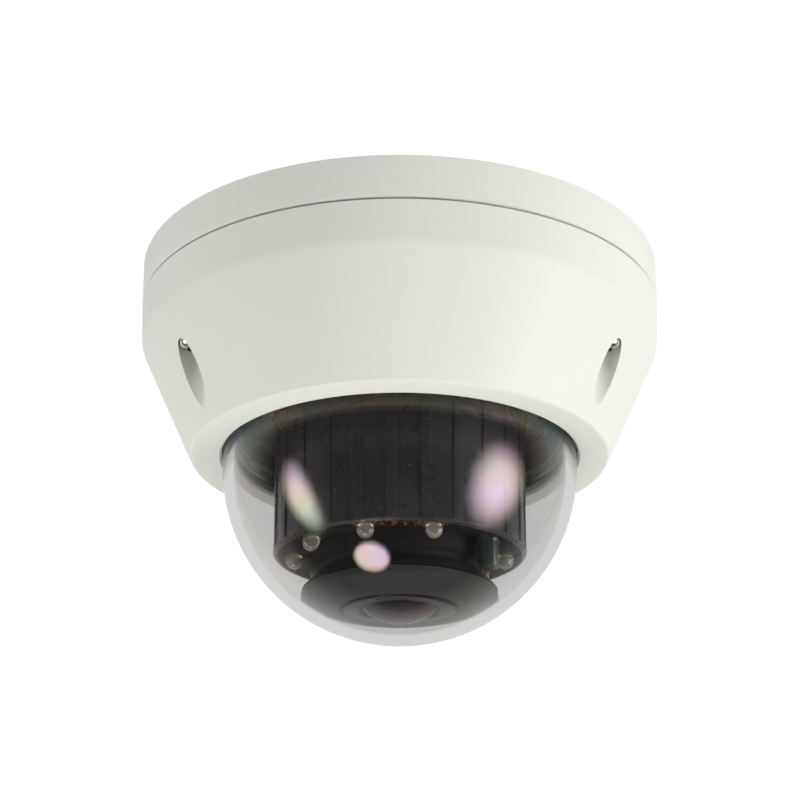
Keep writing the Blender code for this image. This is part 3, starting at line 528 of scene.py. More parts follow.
def arc(centre, radius, start, end, steps):
    """Points of (radius, height) along an arc, with angles in degrees from the +radius way."""
    angles = [math.radians(start + (end - start) * i / steps) for i in range(steps + 1)]
    return [
        (centre[0] + radius * math.cos(a), centre[1] + radius * math.sin(a)) for a in angles
    ]


def pick(ob, kind, rule):
    """In edit mode, selects those of the object's verts, edges or faces that the rule takes."""
    bpy.ops.mesh.select_mode(type={"verts": "VERT", "edges": "EDGE", "faces": "FACE"}[kind])
    bpy.ops.mesh.select_all(action="DESELECT")
    work = bmesh.from_edit_mesh(ob.data)
    for part in getattr(work, kind):
        if rule(part):
            part.select_set(True)
    bmesh.update_edit_mesh(ob.data)


def drawn(name, section, facets, place=(0.0, 0.0), joined=True):
    """A round piece, extruded ring by ring along its section of (radius, height). The last
    ring joins the first, or both ends are capped."""
    clear_selection()
    radius, height = section[0]
    x, y = place[:2]
    bpy.ops.mesh.primitive_circle_add(vertices=facets, radius=radius, location=(x, y, height))
    ob = bpy.context.object
    ob.name = ob.data.name = name
    bpy.ops.object.transform_apply()
    mode("EDIT")
    bpy.ops.mesh.select_mode(type="EDGE")
    bpy.ops.mesh.select_all(action="SELECT")
    for next_radius, next_height in section[1:]:
        rise = (0, 0, next_height - height)
        bpy.ops.mesh.extrude_edges_move(TRANSFORM_OT_translate={"value": rise})
        growth = next_radius / radius
        bpy.ops.transform.resize(
            value=(growth, growth, 1), center_override=(x, y, next_height)
        )
        radius, height = next_radius, next_height
    if joined:
        bpy.ops.mesh.select_all(action="DESELECT")
        bpy.ops.mesh.select_non_manifold()
        bpy.ops.mesh.bridge_edge_loops()
    else:
        bpy.ops.mesh.select_all(action="SELECT")
        bpy.ops.mesh.fill_holes(sides=0)
    bpy.ops.mesh.select_all(action="SELECT")
    bpy.ops.mesh.normals_make_consistent(inside=False)
    mode("OBJECT")
    return ob


def round_ring(ob, radius, height, width, segments):
    """Rounds the ring of edges at that radius and height."""
    choose(ob)
    mode("EDIT")

    def on_ring(edge):
        return all(
            abs(v.co.z - height) < 1e-5 and abs(v.co.xy.length - radius) < 2e-5
            for v in edge.verts
        )

    pick(ob, "edges", on_ring)
    bpy.ops.mesh.bevel(
        offset=width, offset_type="OFFSET", segments=segments, affect="EDGES",
        clamp_overlap=False,
    )
    mode("OBJECT")


def use_modifier(ob, kind, **settings):
    """Adds a modifier with its settings and applies it."""
    choose(ob)
    change = ob.modifiers.new(kind.lower(), kind)
    for key, value in settings.items():
        setattr(change, key, value)
    bpy.ops.object.modifier_apply(modifier=change.name)


def soften(ob, width, segments=2, angle=30):
    """Rounds the edges that are sharper than the angle, by a width in metres."""
    use_modifier(
        ob, "BEVEL", width=width, segments=segments, limit_method="ANGLE",
        angle_limit=math.radians(angle), use_clamp_overlap=True, harden_normals=False,
    )


def combine(ob, tool, operation):
    """Cuts the tool away or joins it on, and uses it up."""
    use_modifier(ob, "BOOLEAN", object=tool, operation=operation, solver="EXACT")
    use_modifier(ob, "WELD", merge_threshold=0.003 * MM)
    spent = tool.data
    bpy.data.objects.remove(tool)
    bpy.data.meshes.remove(spent)


def rod(radius, low, high, place=(0, 0), facets=48):
    """A plain rod in millimetres, as a tool for a cut or to join on."""
    clear_selection()
    low, high = low * MM, high * MM
    bpy.ops.mesh.primitive_cylinder_add(
        vertices=facets, radius=radius * MM, depth=high - low,
        location=(place[0], place[1], (low + high) / 2),
    )
    bpy.ops.object.transform_apply()
    return bpy.context.object


def block(low, high, bevel):
    """A box between two corners, with its edges rounded, all in millimetres."""
    clear_selection()
    low, high = Vector(low) * MM, Vector(high) * MM
    bpy.ops.mesh.primitive_cube_add(size=1, location=(low + high) / 2)
    made = bpy.context.object
    bpy.ops.transform.resize(value=high - low, center_override=(low + high) / 2)
    bpy.ops.object.transform_apply()
    soften(made, bevel * MM, 2)
    return made


def merged(first, *others):
    """One object out of several."""
    choose(first)
    for other in others:
        other.select_set(True)
    bpy.ops.object.join()
    return first


def fit(ob, operation, radius, low, high, azimuths, circle, facets=48):
    """Joins on a ring of equal rods, in millimetres, or cuts their holes."""
    made = [rod(radius, low, high, around(a, circle), facets) for a in azimuths]
    combine(ob, merged(*made) if len(made) > 1 else made[0], operation)


def copies(pattern, azimuths):
    """Copy a piece once for each azimuth, each with its own mesh, and drop the pattern."""
    found = []
    for azimuth in azimuths:
        choose(pattern)
        bpy.ops.object.duplicate(linked=False)
        copy = bpy.context.object
        copy.rotation_euler.z = math.radians(azimuth)
        bpy.ops.object.transform_apply(location=False, rotation=True, scale=False)
        found.append(copy)
    bpy.data.objects.remove(pattern)
    return found


def place_piece(ob, body, nodes, slot, *finishes, angle=30):
    """Gives a piece its finishes and its body, and hides the frame's nodes that it stands for.
    """
    choose(ob)
    bpy.ops.object.shade_smooth_by_angle(angle=math.radians(angle))
    for name in finishes:
        ob.data.materials.append(finish_of(name))
    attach(ob, body)
    if nodes:
        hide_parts(*nodes)


def faces_take(ob, index, rule):
    """Gives the faces that the rule takes the object's finish of that index."""
    for face in ob.data.polygons:
        if rule(face):
            face.material_index = index


# ---- pieces: base ----


class Maker:
    """What every operator here shares."""

    bl_options = {"REGISTER", "UNDO"}


class CAMERA_OT_base(Maker, bpy.types.Operator):
    """Model the cast base with its bosses, its screw holes and its cable hole"""

    bl_idname = "dome_camera.base"
    bl_label = "Base"

    def execute(self, context):
        sizes = context.scene.camera_sizes
        r = BODY_RADIUS / MM
        section = mm(
            (0.2, 0), (r - 0.9, 0), (r - 0.25, -0.28), (r, -0.9), (r, -11.9),
            (r - 0.3, -12.2), (68.4, -12.2), (68.4, -4), (0.2, -4),
        )
        base = drawn("base_casting", section, sizes.facets, joined=False)
        screws = COVER_SCREWS.values()
        fit(base, "UNION", 4.0, -14.0, -3, screws, COVER_SCREW_CIRCLE)
        fit(base, "UNION", 2.5, -12.7, -3, BOARD_POSTS, BOARD_POST_CIRCLE)
        fit(base, "UNION", 2.8, -35.7, -3, BRACKET_POSTS, BRACKET_POST_CIRCLE)
        fit(base, "DIFFERENCE", 2.3, -15.0, -5.0, screws, COVER_SCREW_CIRCLE)
        fit(base, "DIFFERENCE", 1.5, -14.0, -7.5, BOARD_POSTS, BOARD_POST_CIRCLE)
        fit(base, "DIFFERENCE", 1.5, -37.0, -31.0, BRACKET_POSTS, BRACKET_POST_CIRCLE)
        fit(base, "DIFFERENCE", 3.25, -5.0, 1.0, CEILING_HOLES, CEILING_HOLE_CIRCLE)
        fit(base, "DIFFERENCE", 5.6, -6.0, -2.4, CEILING_HOLES, CEILING_HOLE_CIRCLE)
        fit(base, "DIFFERENCE", 12.0, -5.0, 1.0, (180,), CABLE_HOLE_CIRCLE)
        place_piece(base, "base", ["base_housing"], "white_paint", "powder_coat")
        return {"FINISHED"}


class CAMERA_OT_seals(Maker, bpy.types.Operator):
    """Model the cable's rubber bush, the gasket in the seam and the dome's gasket"""

    bl_idname = "dome_camera.seals"
    bl_label = "Seals"

    def execute(self, context):
        facets = context.scene.camera_sizes.facets
        section = mm(
            (4.5, -0.9), (4.9, -0.4), (11.0, -0.4), (11.6, -0.9), (11.6, -4.3), (14, -4.3),
            (14, -5.9), (13.4, -6.3), (8.0, -6.3), (6.5, -7.4), (4.9, -7.4), (4.5, -7.0),
        )
        bush = drawn("cable_bush", section, 96, (0.0, CABLE_HOLE_CIRCLE * MM))
        place_piece(bush, "base", ["cable_grommet"], "black_rubber", "black_rubber")
        section = mm((68.5, -12.7), (68.7, -12.5), (70.0, -12.5), (70.2, -12.7),
                     (70.2, -13.9), (70.0, -14.1), (68.7, -14.1), (68.5, -13.9))
        gasket = drawn("seam_gasket", section, facets)
        place_piece(gasket, "base", ["body_gasket"], "silicone_grey", "grey_silicone")
        section = mm((49.7, -53.3), (49.9, -53.1), (51.9, -53.1), (52.1, -53.3),
                     (52.1, -53.7), (51.9, -53.9), (49.9, -53.9), (49.7, -53.7))
        gasket = drawn("dome_seal", section, facets)
        place_piece(gasket, "cover", ["dome_gasket"], "black_rubber", "black_rubber")
        return {"FINISHED"}


class CAMERA_OT_liner(Maker, bpy.types.Operator):
    """Model the black liner that hides the bracket, with its stepped inner edge"""

    bl_idname = "dome_camera.liner"
    bl_label = "Liner"

    def execute(self, context):
        section = mm(
            (36.4, -43.2), (52.5, -43.2), (52.5, -44.8), (51.6, -44.8), (51.3, -44.3),
            (48.2, -44.3), (47.9, -44.8), (44.6, -44.8), (44.3, -44.3), (41.2, -44.3),
            (40.9, -44.8), (36.4, -44.8),
        )
        liner = drawn("liner_moulding", section, context.scene.camera_sizes.facets)
        fit(liner, "UNION", 2.0, -43.7, -38.3, LINER_LEGS, LINER_LEG_CIRCLE)
        place_piece(liner, "base", ["inner_liner"], "black_plastic", "black_moulding")
        return {"FINISHED"}


class CAMERA_OT_board_parts(Maker, bpy.types.Operator):
    """Model the chips and capacitors on the main board"""

    bl_idname = "dome_camera.board_parts"
    bl_label = "Board Parts"

    def execute(self, context):
        top = -14.9
        chips = []
        for x, y, width, length, height in (
            (-24, -2, 9, 9, 1.2), (24, 2, 7, 9, 1.0), (-8, -32, 12, 7, 1.2),
            (12, -34, 8, 8, 1.0), (-36, -4, 5, 6, 1.6), (33, -2, 5, 5, 1.4),
            (-24, -30, 6, 4, 0.9), (10, 12, 6, 5, 1.1), (-9, 10, 5, 4, 0.9),
        ):
            chips.append(
                block((x - width / 2, y - length / 2, top - height),
                      (x + width / 2, y + length / 2, top), 0.15)
            )
        chips = merged(*chips)
        chips.name = "board_chips"
        place_piece(chips, "base", [], "black_plastic", "matt_black")
        cans = []
        for x, y, radius, height in (
            (-34, -20, 3.1, 7.5), (36, 8, 3.1, 7.5), (0, -42, 2.4, 6.0), (8, -42, 2.4, 6.0),
            (16, 6, 2.0, 5.0), (-17, 34, 2.4, 6.0), (20, 34, 2.4, 6.0),
        ):
            section = mm(
                (0.1, top), (radius, top), (radius, top - 0.8), (radius - 0.25, top - 1.1),
                (radius, top - 1.4), (radius, top - height + 0.3),
                (radius - 0.3, top - height), (0.1, top - height),
            )
            cans.append(drawn("can", section, 32, (x * MM, y * MM), joined=False))
        cans = merged(*cans)
        cans.name = "board_capacitors"
        place_piece(cans, "base", [], "steel", "stainless")
        return {"FINISHED"}


# ---- pieces: cover ----


class CAMERA_OT_cover(Maker, bpy.types.Operator):
    """Model the cast cover with its cone, its rim and its three screw pockets"""

    bl_idname = "dome_camera.cover"
    bl_label = "Cover"

    def execute(self, context):
        sizes = context.scene.camera_sizes
        low = BODY_LOW / MM
        section = mm(
            (0.2, -12.8), (72.7, -12.8), (73.0, -13.1), (72.6, -24.4), (58.1, low),
            (0.2, low),
        )
        cover = drawn("cover_casting", section, sizes.facets, joined=False)
        round_ring(cover, 72.6 * MM, -24.4 * MM, sizes.crease, 6)
        round_ring(cover, 58.1 * MM, BODY_LOW, 0.7 * MM, 5)
        section = mm(
            (0.2, -10), (70.5, -10), (70.5, -14.4), (67.0, -14.4), (67.0, -17.5),
            (69.9, -21.5), (69.5, -25.0), (56.2, -54.2), (0.2, -54.2),
        )
        cavity = drawn("cavity", section, sizes.facets, joined=False)
        screws, retainer = COVER_SCREWS.values(), (RETAINER_SCREWS, RETAINER_SCREW_CIRCLE)
        fit(cavity, "DIFFERENCE", 6.2, -60, -14.8, screws, COVER_SCREW_CIRCLE, 64)
        fit(cavity, "DIFFERENCE", 2.5, -56, -50.3, *retainer)
        combine(cover, cavity, "DIFFERENCE")
        section = mm((0.2, -60), (50.1, -60), (50.1, low + 0.05), (49.45, low + 0.7),
                     (49.45, -53.2), (0.2, -53.2))
        opening = drawn("opening", section, sizes.facets, joined=False)
        combine(cover, opening, "DIFFERENCE")
        for azimuth in screws:
            section = mm((0.2, -62), (4.0, -62), (4.0, -33.4), (3.6, -32.9), (2.35, -32.9),
                         (2.35, -10), (0.2, -10))
            place = around(azimuth, POCKET_CIRCLE)
            pocket = drawn("pocket", section, 72, place, joined=False)
            combine(cover, pocket, "DIFFERENCE")
        fit(cover, "DIFFERENCE", 1.5, -53.2, -50, *retainer)
        place_piece(cover, "cover", ["cover_shell"], "white_paint", "powder_coat", angle=26)
        return {"FINISHED"}


class CAMERA_OT_dome(Maker, bpy.types.Operator):
    """Model the clear dome with its short skirt and its flange"""

    bl_idname = "dome_camera.dome"
    bl_label = "Dome"

    def execute(self, context):
        sizes = context.scene.camera_sizes
        inner = DOME_RADIUS - sizes.dome_wall
        centre = (0, DOME_CENTRE_Z)
        top, shoulder = -50.3 * MM, -52.8 * MM
        last = 89.7  # degrees: a very small ring, which the pole's cap closes
        section = arc(centre, DOME_RADIUS, -last, 0, 56)
        section += [(DOME_RADIUS, shoulder - 0.3 * MM), (DOME_RADIUS + 0.2 * MM, shoulder),
                    (52.0 * MM, shoulder), (52.2 * MM, shoulder + 0.2 * MM),
                    (52.2 * MM, top - 0.2 * MM), (52.0 * MM, top),
                    (inner + 0.3 * MM, top), (inner, top - 0.3 * MM)]
        section += arc(centre, inner, 0, -last, 56)
        dome = drawn("dome_shell", section, sizes.facets, joined=False)
        place_piece(dome, "cover", ["dome_bubble"], "clear_plastic", "clear_dome", angle=40)
        return {"FINISHED"}


class CAMERA_OT_retainer(Maker, bpy.types.Operator):
    """Model the black ring that presses the dome to the cover, stepped like a staircase"""

    bl_idname = "dome_camera.retainer"
    bl_label = "Dome Retainer"

    def execute(self, context):
        section = mm(
            (57.1, -50), (57.4, -49.7), (57.4, -48.5), (57.1, -48.2), (50, -48.2),
            (50, -45.6), (49.8, -45.4), (49.2, -45.4), (49.0, -46.6), (48.4, -46.6),
            (48.2, -47.8), (47.6, -47.8), (47.4, -49.0), (46.7, -49.0), (46.5, -50),
        )
        ring = drawn("retainer_moulding", section, context.scene.camera_sizes.facets)
        fit(ring, "DIFFERENCE", 1.5, -51, -47, RETAINER_SCREWS, RETAINER_SCREW_CIRCLE, 32)
        place_piece(ring, "cover", ["dome_retainer"], "black_plastic", "black_moulding")
        return {"FINISHED"}


class CAMERA_OT_cover_screws(Maker, bpy.types.Operator):
    """Model the three captive cover screws, with a pin in each six-sided socket"""

    bl_idname = "dome_camera.cover_screws"
    bl_label = "Cover Screws"

    def execute(self, context):
        place = around(0, COVER_SCREW_CIRCLE)
        section = mm(
            (0.1, -6.6), (1.6, -6.6), (2.0, -7.2), (2.0, -34.1), (3.4, -34.1),
            (3.5, -34.3), (3.5, -35.0), (3.38, -35.6), (3.05, -36.2), (2.5, -36.7),
            (2.0, -36.95), (1.7, -37.0), (0.1, -37.0),
        )
        pattern = drawn("screw", section, 64, place, joined=False)
        socket = rod(1.45, -38, -35.4, place, 6)
        pin = rod(0.45, -39, -35.0, place, 24)
        combine(socket, pin, "DIFFERENCE")
        combine(pattern, socket, "DIFFERENCE")
        for side, screw in zip(COVER_SCREWS, copies(pattern, COVER_SCREWS.values())):
            screw.name = f"screw_{side}_turned"
            place_piece(screw, f"screw_{side}", [f"cover_screw_{side}"], "steel", "stainless",
                        angle=35)
        return {"FINISHED"}


# ---- pieces: module ----


class CAMERA_OT_module(Maker, bpy.types.Operator):
    """Model the ribbed cup that turns, with its hub, its stop lug and its inner posts"""

    bl_idname = "dome_camera.module"
    bl_label = "Turning Module"

    def execute(self, context):
        height = context.scene.camera_sizes.rib_height
        section = mm(
            (12, -31.6), (19.5, -31.6), (20, -32.1), (20, -33.8), (18.4, -33.8),
            (18.4, -35.9), (20, -35.9), (20, -41.5), (34.2, -41.5), (34.9, -41.8),
            (35.2, -42.5), (35.17, -44.1), (34.3, -84.4), (34.2, -84.9), (33.6, -85.6),
            (33.25, -85.6), (33.0, -85.35), (33, -43.5), (12, -43.5),
        )
        cup = drawn("module_cup", section, RIBS * 10)
        choose(cup)
        mode("EDIT")
        pitch, rib_start, rib_end = 360 / RIBS, 9.7, 13.2

        def between_ribs(face):
            middle = face.calc_center_median()
            azimuth = math.degrees(math.atan2(middle.x, -middle.y)) % pitch
            on_wall = middle.xy.length > 34 * MM and -84.5 * MM < middle.z < -44 * MM
            return on_wall and not rib_start < azimuth < rib_end

        pick(cup, "faces", between_ribs)
        bpy.ops.mesh.extrude_region_shrink_fatten(
            TRANSFORM_OT_shrink_fatten={"value": -height}
        )
        mode("OBJECT")
        soften(cup, 0.3 * MM, 4, 35)
        lug = block((-1.5, -34, -42.0), (1.5, -31.5, -39), 0.3)
        combine(cup, lug, "UNION")
        fit(cup, "UNION", 2.0, -79.2, -42.5, LAMP_BOARD_POSTS, LAMP_BOARD_POST_CIRCLE, 24)
        corner = math.degrees(math.atan2(*SENSOR_POST))
        azimuths = (corner, 180 - corner, 180 + corner, -corner)
        fit(cup, "UNION", 1.8, -57.6, -42.5, azimuths, math.hypot(*SENSOR_POST), 24)
        place_piece(cup, "module", ["module_housing"], "black_plastic", "black_moulding",
                    angle=20)
        return {"FINISHED"}


class CAMERA_OT_mask(Maker, bpy.types.Operator):
    """Model the black plate with the lamps' holes, gilt inside the holes"""

    bl_idname = "dome_camera.mask"
    bl_label = "Lamp Mask"

    def execute(self, context):
        section = mm((24.6, -84.2), (24.8, -84.4), (32.7, -84.4), (32.9, -84.2),
                     (32.9, -82.9), (24.6, -82.9))
        mask = drawn("lamp_mask_plate", section, 180)
        for radius, azimuths in (
            (3.45, LAMP_AZIMUTHS), (2.6, SPARE_HOLES), (3.3, (SENSOR_AZIMUTH,))
        ):
            fit(mask, "DIFFERENCE", radius, -86, -82, azimuths, LAMP_CIRCLE)
        centres = [around(a, LAMP_CIRCLE) for a in (*LAMP_AZIMUTHS, *SPARE_HOLES)]

        def in_hole(face):
            near = min((face.center.xy - c.xy).length for c in centres)
            return abs(face.normal.z) < 0.3 and near < 3.6 * MM

        place_piece(mask, "module", ["led_mask"], "black_plastic", "matt_black",
                    "gilt_film")
        faces_take(mask, 1, in_hole)
        return {"FINISHED"}


class CAMERA_OT_lamps(Maker, bpy.types.Operator):
    """Model the nine infrared lamps, each a clear bullet over a gold-coloured cup"""

    bl_idname = "dome_camera.lamps"
    bl_label = "Infrared Lamps"

    def execute(self, context):
        place = around(0, LAMP_CIRCLE)
        section = mm((0.1, -81.5), (2.75, -81.5), (2.85, -81.7), (2.85, -82.3),
                     (2.7, -82.5), (2.3, -82.6), (2.28, -86.0))
        section += arc((0, -86.0 * MM), 2.25 * MM, -8, -87, 12)
        bullet = drawn("bullet", section, 40, place, joined=False)
        cup = mm((0.9, -83.4), (1.3, -83.4), (1.45, -84.6), (1.3, -84.7), (0.75, -83.8),
                 (0.1, -83.75), (0.1, -83.5))
        cup = drawn("cup", cup, 24, place)
        chip = rod(0.35, -84.05, -83.75, place, 4)
        post = rod(0.3, -83.6, -81.6, place, 8)
        for part in (bullet, cup, chip, post):
            part.data.materials.append(finish_of("lamp_epoxy"))
        for part in (cup, chip, post):
            part.data.materials.append(finish_of("lead_frame"))
            faces_take(part, 1, lambda face: True)
        pattern = merged(bullet, cup, chip, post)
        for number, lamp in enumerate(copies(pattern, LAMP_AZIMUTHS), start=1):
            lamp.name = f"lamp_{number}"
            place_piece(lamp, "module", [f"ir_led_{number}"], "led_epoxy")
        return {"FINISHED"}


class CAMERA_OT_light_sensor(Maker, bpy.types.Operator):
    """Model the dark glossy light sensor in its collar"""

    bl_idname = "dome_camera.light_sensor"
    bl_label = "Light Sensor"

    def execute(self, context):
        section = mm(
            (0.1, -81.5), (3.0, -81.5), (3.05, -85.9), (2.95, -86.1), (2.65, -86.15),
            (2.6, -86.4), (2.6, -92.2), (2.45, -92.5), (2.2, -92.6), (0.1, -92.6),
        )
        tube = drawn("light_sensor_tube", section, 64,
                     around(SENSOR_AZIMUTH, LAMP_CIRCLE), joined=False)
        place_piece(tube, "module", ["light_sensor"], "tinted_plastic", "tinted_plastic")
        return {"FINISHED"}


class CAMERA_OT_lens_bell(Maker, bpy.types.Operator):
    """Model the black bell round the lens and the rubber baffle between it and the dome"""

    bl_idname = "dome_camera.lens_bell"
    bl_label = "Lens Bell"

    def execute(self, context):
        facets = context.scene.camera_sizes.facets
        section = mm(
            (27.5, -77.9), (27.5, -79.2), (24.2, -79.2), (24.2, -88.7), (23.9, -89.0),
            (22.9, -89.3), (22.6, -89.7), (22.6, -90.7), (22.9, -91.2), (25.9, -94.1),
            (26.2, -94.5), (15.6, -94.5), (15.6, -92.9), (20.6, -92.9), (20.9, -89.5),
            (22.3, -88.4), (22.3, -77.9),
        )
        bell = drawn("lens_bell_moulding", section, facets)
        place_piece(bell, "module", ["lens_shroud"], "black_plastic", "matt_black")
        centre, gap = (0, DOME_CENTRE_Z), 0.5 * MM
        reach = DOME_RADIUS - 3.0 * MM - gap
        start = math.degrees(math.acos(25.9 * MM / reach))
        end = math.degrees(math.acos(20.0 * MM / reach))
        section = mm((15.9, -94.8), (26.0, -94.8), (26.2, -95.0), (26.2, -96.6))
        section += arc(centre, reach, -start, -end, 8)
        section += mm((19.6, -100.6), (19.0, -100.4), (16.4, -99.5), (15.9, -99.2))
        baffle = drawn("lens_baffle", section, facets)
        place_piece(baffle, "module", ["isolation_ring"], "black_rubber", "black_rubber")
        return {"FINISHED"}


class CAMERA_OT_lens(Maker, bpy.types.Operator):
    """Model the lens: its tube, its three glasses and its threaded ring"""

    bl_idname = "dome_camera.lens"
    bl_label = "Lens"

    def execute(self, context):
        section = mm(
            (5.2, -67.0), (6.8, -67.0), (7.0, -67.2), (7.0, -78.0), (10.5, -78.0),
            (10.5, -88.0), (15.2, -90.0), (15.2, -98.2), (15.0, -98.4), (10.5, -98.4),
            (10.5, -96.6), (8.4, -96.6), (8.2, -95.8), (8.0, -94.8), (8.0, -92.2),
            (7.2, -92.2), (7.2, -90.4), (6.4, -90.4), (6.4, -89.4), (8.4, -89.4),
            (8.4, -80.5), (5.2, -79.0),
        )
        tube = drawn("lens_tube", section, 144)
        place_piece(tube, "module", ["lens_barrel"], "black_anodised", "black_anodised")
        section = mm(
            (10.4, -98.9), (10.6, -98.7), (15.0, -98.7), (15.2, -98.9), (15.2, -99.6),
            (14.9, -99.9), (11.2, -99.9), (10.4, -99.3),
        )
        ring = drawn("lens_ring", section, 144)
        fit(ring, "DIFFERENCE", 0.55, -101, -99.1, SPANNER_HOLES, SPANNER_HOLE_CIRCLE, 32)
        place_piece(ring, "module", ["lens_retaining_ring"], "black_anodised",
                    "black_anodised")
        for part, outside, inside, rim, inner_rim in (
            ("front", (-99.4, -103.0), (-96.95, -99.8), 10.1, 8.3),
            ("middle", (-87.6, -88.5), (-83.5, -85.2), 8.1, 8.1),
            ("rear", (-72.0, -73.5), (-70.2, -69.0), 4.9, 4.9),
        ):
            section = glass_face(rim, *outside) + glass_face(inner_rim, *inside)[::-1]
            element = drawn(f"{part}_glass", section, 96, joined=False)
            place_piece(element, "module", [f"lens_{part}_element"], "lens_glass",
                        "coated_glass", angle=40)
        return {"FINISHED"}


def glass_face(rim, rim_height, middle_height, steps=14):
    """One face of a lens element, from its middle to its rim, in metres."""
    sag = abs(middle_height - rim_height)
    radius = (rim * rim + sag * sag) / (2 * sag)
    down = 1 if middle_height < rim_height else -1
    points = [(0.08 * MM, middle_height * MM)]
    for i in range(1, steps + 1):
        r = rim * i / steps
        drop = radius - math.sqrt(radius * radius - r * r)
        points.append((r * MM, (middle_height + down * drop) * MM))
    return points


# ---- finishes of the frame ----


NODE_FINISHES = {
    "stainless": (
        "board_screw_1", "board_screw_2", "bracket_screw_1", "bracket_screw_2",
        "bracket_screw_3", "retainer_screw_1", "retainer_screw_2", "retainer_screw_3",
        "led_board_screw_1", "led_board_screw_2", "lens_grub_screw", "network_socket",
        "memory_card_socket",
    ),
    "zinc_plate": ("bracket_plate", "snap_ring"),
    "circuit_board": ("main_board", "sensor_board"),
    "gilt_film": ("led_board",),
    "copper_winding": ("filter_coil",),
    "black_anodised": ("processor_heatsink", "image_sensor", "filter_lever"),
    "black_moulding": ("lens_mount", "reset_switch"),
    "green_terminal": ("power_terminal",),
    "white_nylon": ("reset_button", "friction_washer", "filter_slider"),
    "coated_glass": ("clear_glass",),
    "filter_glass": ("ir_cut_glass",),
}


class CAMERA_OT_inner_finishes(Maker, bpy.types.Operator):
    """Give the frame's own boards, sockets, screws and filter parts their finishes"""

    bl_idname = "dome_camera.inner_finishes"
    bl_label = "Inner Finishes"

    def execute(self, context):
        for finish, names in NODE_FINISHES.items():
            for name in names:
                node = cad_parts[name]
                node.data.materials.clear()
                node.data.materials.append(finish_of(finish))
        return {"FINISHED"}


# ---- stage ----


FLOOR_SIZE = 14.0
# The brightness of the room in front, of the backdrop in reflections and of the backdrop
# itself, and the way to the backdrop.
ROOM_LIGHT, BACKDROP_LIGHT, SEEN_LIGHT = 0.08, 0.85, 1.06
BACKDROP_WAY = (0.0, 1.0, 0.45)
LAMPS_AIM = -0.05
# Name, azimuth and elevation in degrees, distance, width, height, radiance, soft edge.
LAMPS = (
    ("right_box", 69, -17, 1.3, 1.15, 1.3, 11.0, 0.42),
    ("left_box", -74, -22, 1.3, 0.6, 1.15, 9.6, 0.4),
    ("round_lamp", -52, -71, 0.62, 0.235, 0.235, 11.0, 0.16),
    ("top_box", 0, 48, 1.5, 1.4, 1.0, 5.2, 0.2),
)
# The camera looks up by this many degrees, at the dome's centre.
VIEW_RISE, VIEW_DISTANCE, VIEW_LENS, VIEW_SHIFT = 20.3, 0.6126, 99.15, (0.0003, 0.0868)


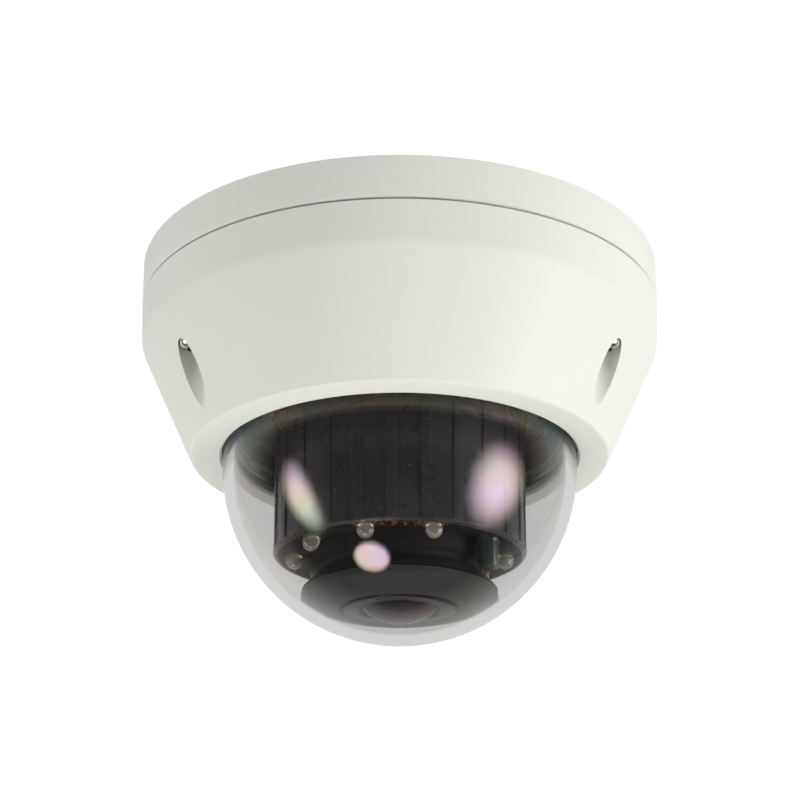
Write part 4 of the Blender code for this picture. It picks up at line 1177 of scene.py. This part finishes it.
class CAMERA_OT_stage(Maker, bpy.types.Operator):
    """Set the pale floor, the soft studio light and the camera below the front"""

    bl_idname = "dome_camera.stage"
    bl_label = "Stage"

    def execute(self, context):
        self.make_floor(context)
        self.make_world(context)
        self.make_lamps()
        self.make_camera(context)
        return {"FINISHED"}

    def make_floor(self, context):
        clear_selection()
        height = context.scene.camera_sizes.floor_height
        bpy.ops.mesh.primitive_plane_add(size=FLOOR_SIZE, location=(0, 0, height))
        floor = context.object
        floor.name = "studio_floor"
        bpy.ops.object.transform_apply()
        floor.data.materials.append(finish_of("studio_floor"))
        floor.visible_glossy = floor.visible_transmission = False

    def make_world(self, context):
        """A white backdrop behind, and a dim room in front, which the dome shows."""
        world = bpy.data.worlds.new("studio")
        context.scene.world = world
        world.use_nodes = True
        tree = world.node_tree
        tree.nodes.clear()
        way = add(tree, "ShaderNodeTexCoord").outputs["Generated"]
        back = add(
            tree, "ShaderNodeVectorMath", {0: way, 1: BACKDROP_WAY},
            operation="DOT_PRODUCT",
        ).outputs["Value"]
        lit = ranged(tree, back, ROOM_LIGHT, BACKDROP_LIGHT, -0.05, 0.5)
        path = add(tree, "ShaderNodeLightPath").outputs
        bounces = reckon(tree, "ADD", path["Diffuse Depth"], path["Glossy Depth"])
        straight = reckon(tree, "LESS_THAN", bounces, 0.5)
        through = reckon(tree, "MULTIPLY", path["Is Transmission Ray"], straight)
        seen = reckon(tree, "MAXIMUM", path["Is Camera Ray"], through)
        strength = add(
            tree, "ShaderNodeMix", {0: seen, 2: lit, 3: SEEN_LIGHT}, data_type="FLOAT"
        ).outputs[0]
        light = add(
            tree, "ShaderNodeBackground",
            {"Color": (1.0, 1.0, 1.0, 1), "Strength": strength},
        )
        add(tree, "ShaderNodeOutputWorld", {"Surface": light.outputs[0]})

    def make_lamps(self):
        middle = Vector((0, 0, LAMPS_AIM))
        for name, azimuth, elevation, distance, width, height, radiance, edge in LAMPS:
            turn, rise = math.radians(azimuth), math.radians(elevation)
            way = Vector((math.sin(turn) * math.cos(rise), -math.cos(turn) * math.cos(rise),
                          math.sin(rise)))
            light = bpy.data.lights.new(name, "AREA")
            light.shape = "ELLIPSE"
            light.size, light.size_y = width, height
            light.energy = radiance * width * height * math.pi ** 2 / 4
            self.soften_lamp(light, edge)
            lamp = bpy.data.objects.new(name, light)
            lamp.location = middle + way * distance
            lamp.rotation_euler = (-way).to_track_quat("-Z", "Y").to_euler()
            bpy.context.scene.collection.objects.link(lamp)

    def soften_lamp(self, light, edge):
        """A softbox is brightest in its middle and fades to its edge."""
        light.use_nodes = True
        tree = light.node_tree
        tree.nodes.clear()
        place = add(tree, "ShaderNodeNewGeometry").outputs["Parametric"]
        for operation, other in (("SUBTRACT", (0.5, 0.5, 0.0)), ("MULTIPLY", (1.0, 1.0, 0.0))):
            place = add(
                tree, "ShaderNodeVectorMath", {0: place, 1: other}, operation=operation
            ).outputs["Vector"]
        reach = add(
            tree, "ShaderNodeVectorMath", {0: place}, operation="LENGTH"
        ).outputs["Value"]
        fade = ranged(
            tree, reach, 1.0, 0.0, 0.5 - edge, 0.5, interpolation_type="SMOOTHSTEP"
        )
        glow = add(
            tree, "ShaderNodeEmission", {"Color": (1.0, 1.0, 1.0, 1), "Strength": fade}
        )
        add(tree, "ShaderNodeOutputLight", {"Surface": glow.outputs[0]})

    def make_camera(self, context):
        rise = math.radians(VIEW_RISE)
        way = Vector((0, math.cos(rise), math.sin(rise)))
        data = bpy.data.cameras.new("view")
        data.lens, data.sensor_width = VIEW_LENS, 36
        data.shift_x, data.shift_y = VIEW_SHIFT
        data.clip_start, data.clip_end = 0.05, 50
        view = bpy.data.objects.new("view", data)
        view.location = Vector((0, 0, DOME_CENTRE_Z)) - way * VIEW_DISTANCE
        view.rotation_euler = (math.pi / 2 + rise, 0, 0)
        context.scene.collection.objects.link(view)
        context.scene.camera = view
        context.scene.view_settings.view_transform = "Standard"


# ---- panel and start ----


MAKERS = Maker.__subclasses__()  # in the order in which they stand above


class CAMERA_PT_makers(bpy.types.Panel):
    """The list of the camera's pieces and settings"""

    bl_idname = "CAMERA_PT_makers"
    bl_label = "Dome Camera"
    bl_space_type = "VIEW_3D"
    bl_region_type = "UI"
    bl_category = "Dome Camera"

    def draw(self, context):
        layout = self.layout
        for settings in (context.scene.camera_sizes, context.scene.camera_colours):
            column = layout.column()
            for name in settings.__annotations__:
                column.prop(settings, name)
        for maker in MAKERS:
            layout.operator(maker.bl_idname)


CLASSES = (CameraSizes, CameraColours, *MAKERS, CAMERA_PT_makers)


def register():
    for one in CLASSES:
        bpy.utils.register_class(one)
    bpy.types.Scene.camera_sizes = bpy.props.PointerProperty(type=CameraSizes)
    bpy.types.Scene.camera_colours = bpy.props.PointerProperty(type=CameraColours)


def unregister():
    del bpy.types.Scene.camera_colours
    del bpy.types.Scene.camera_sizes
    for one in reversed(CLASSES):
        bpy.utils.unregister_class(one)


def main():
    register()
    for maker in MAKERS:
        group, name = maker.bl_idname.split(".")
        getattr(getattr(bpy.ops, group), name)()


if __name__ == "__main__":
    main()
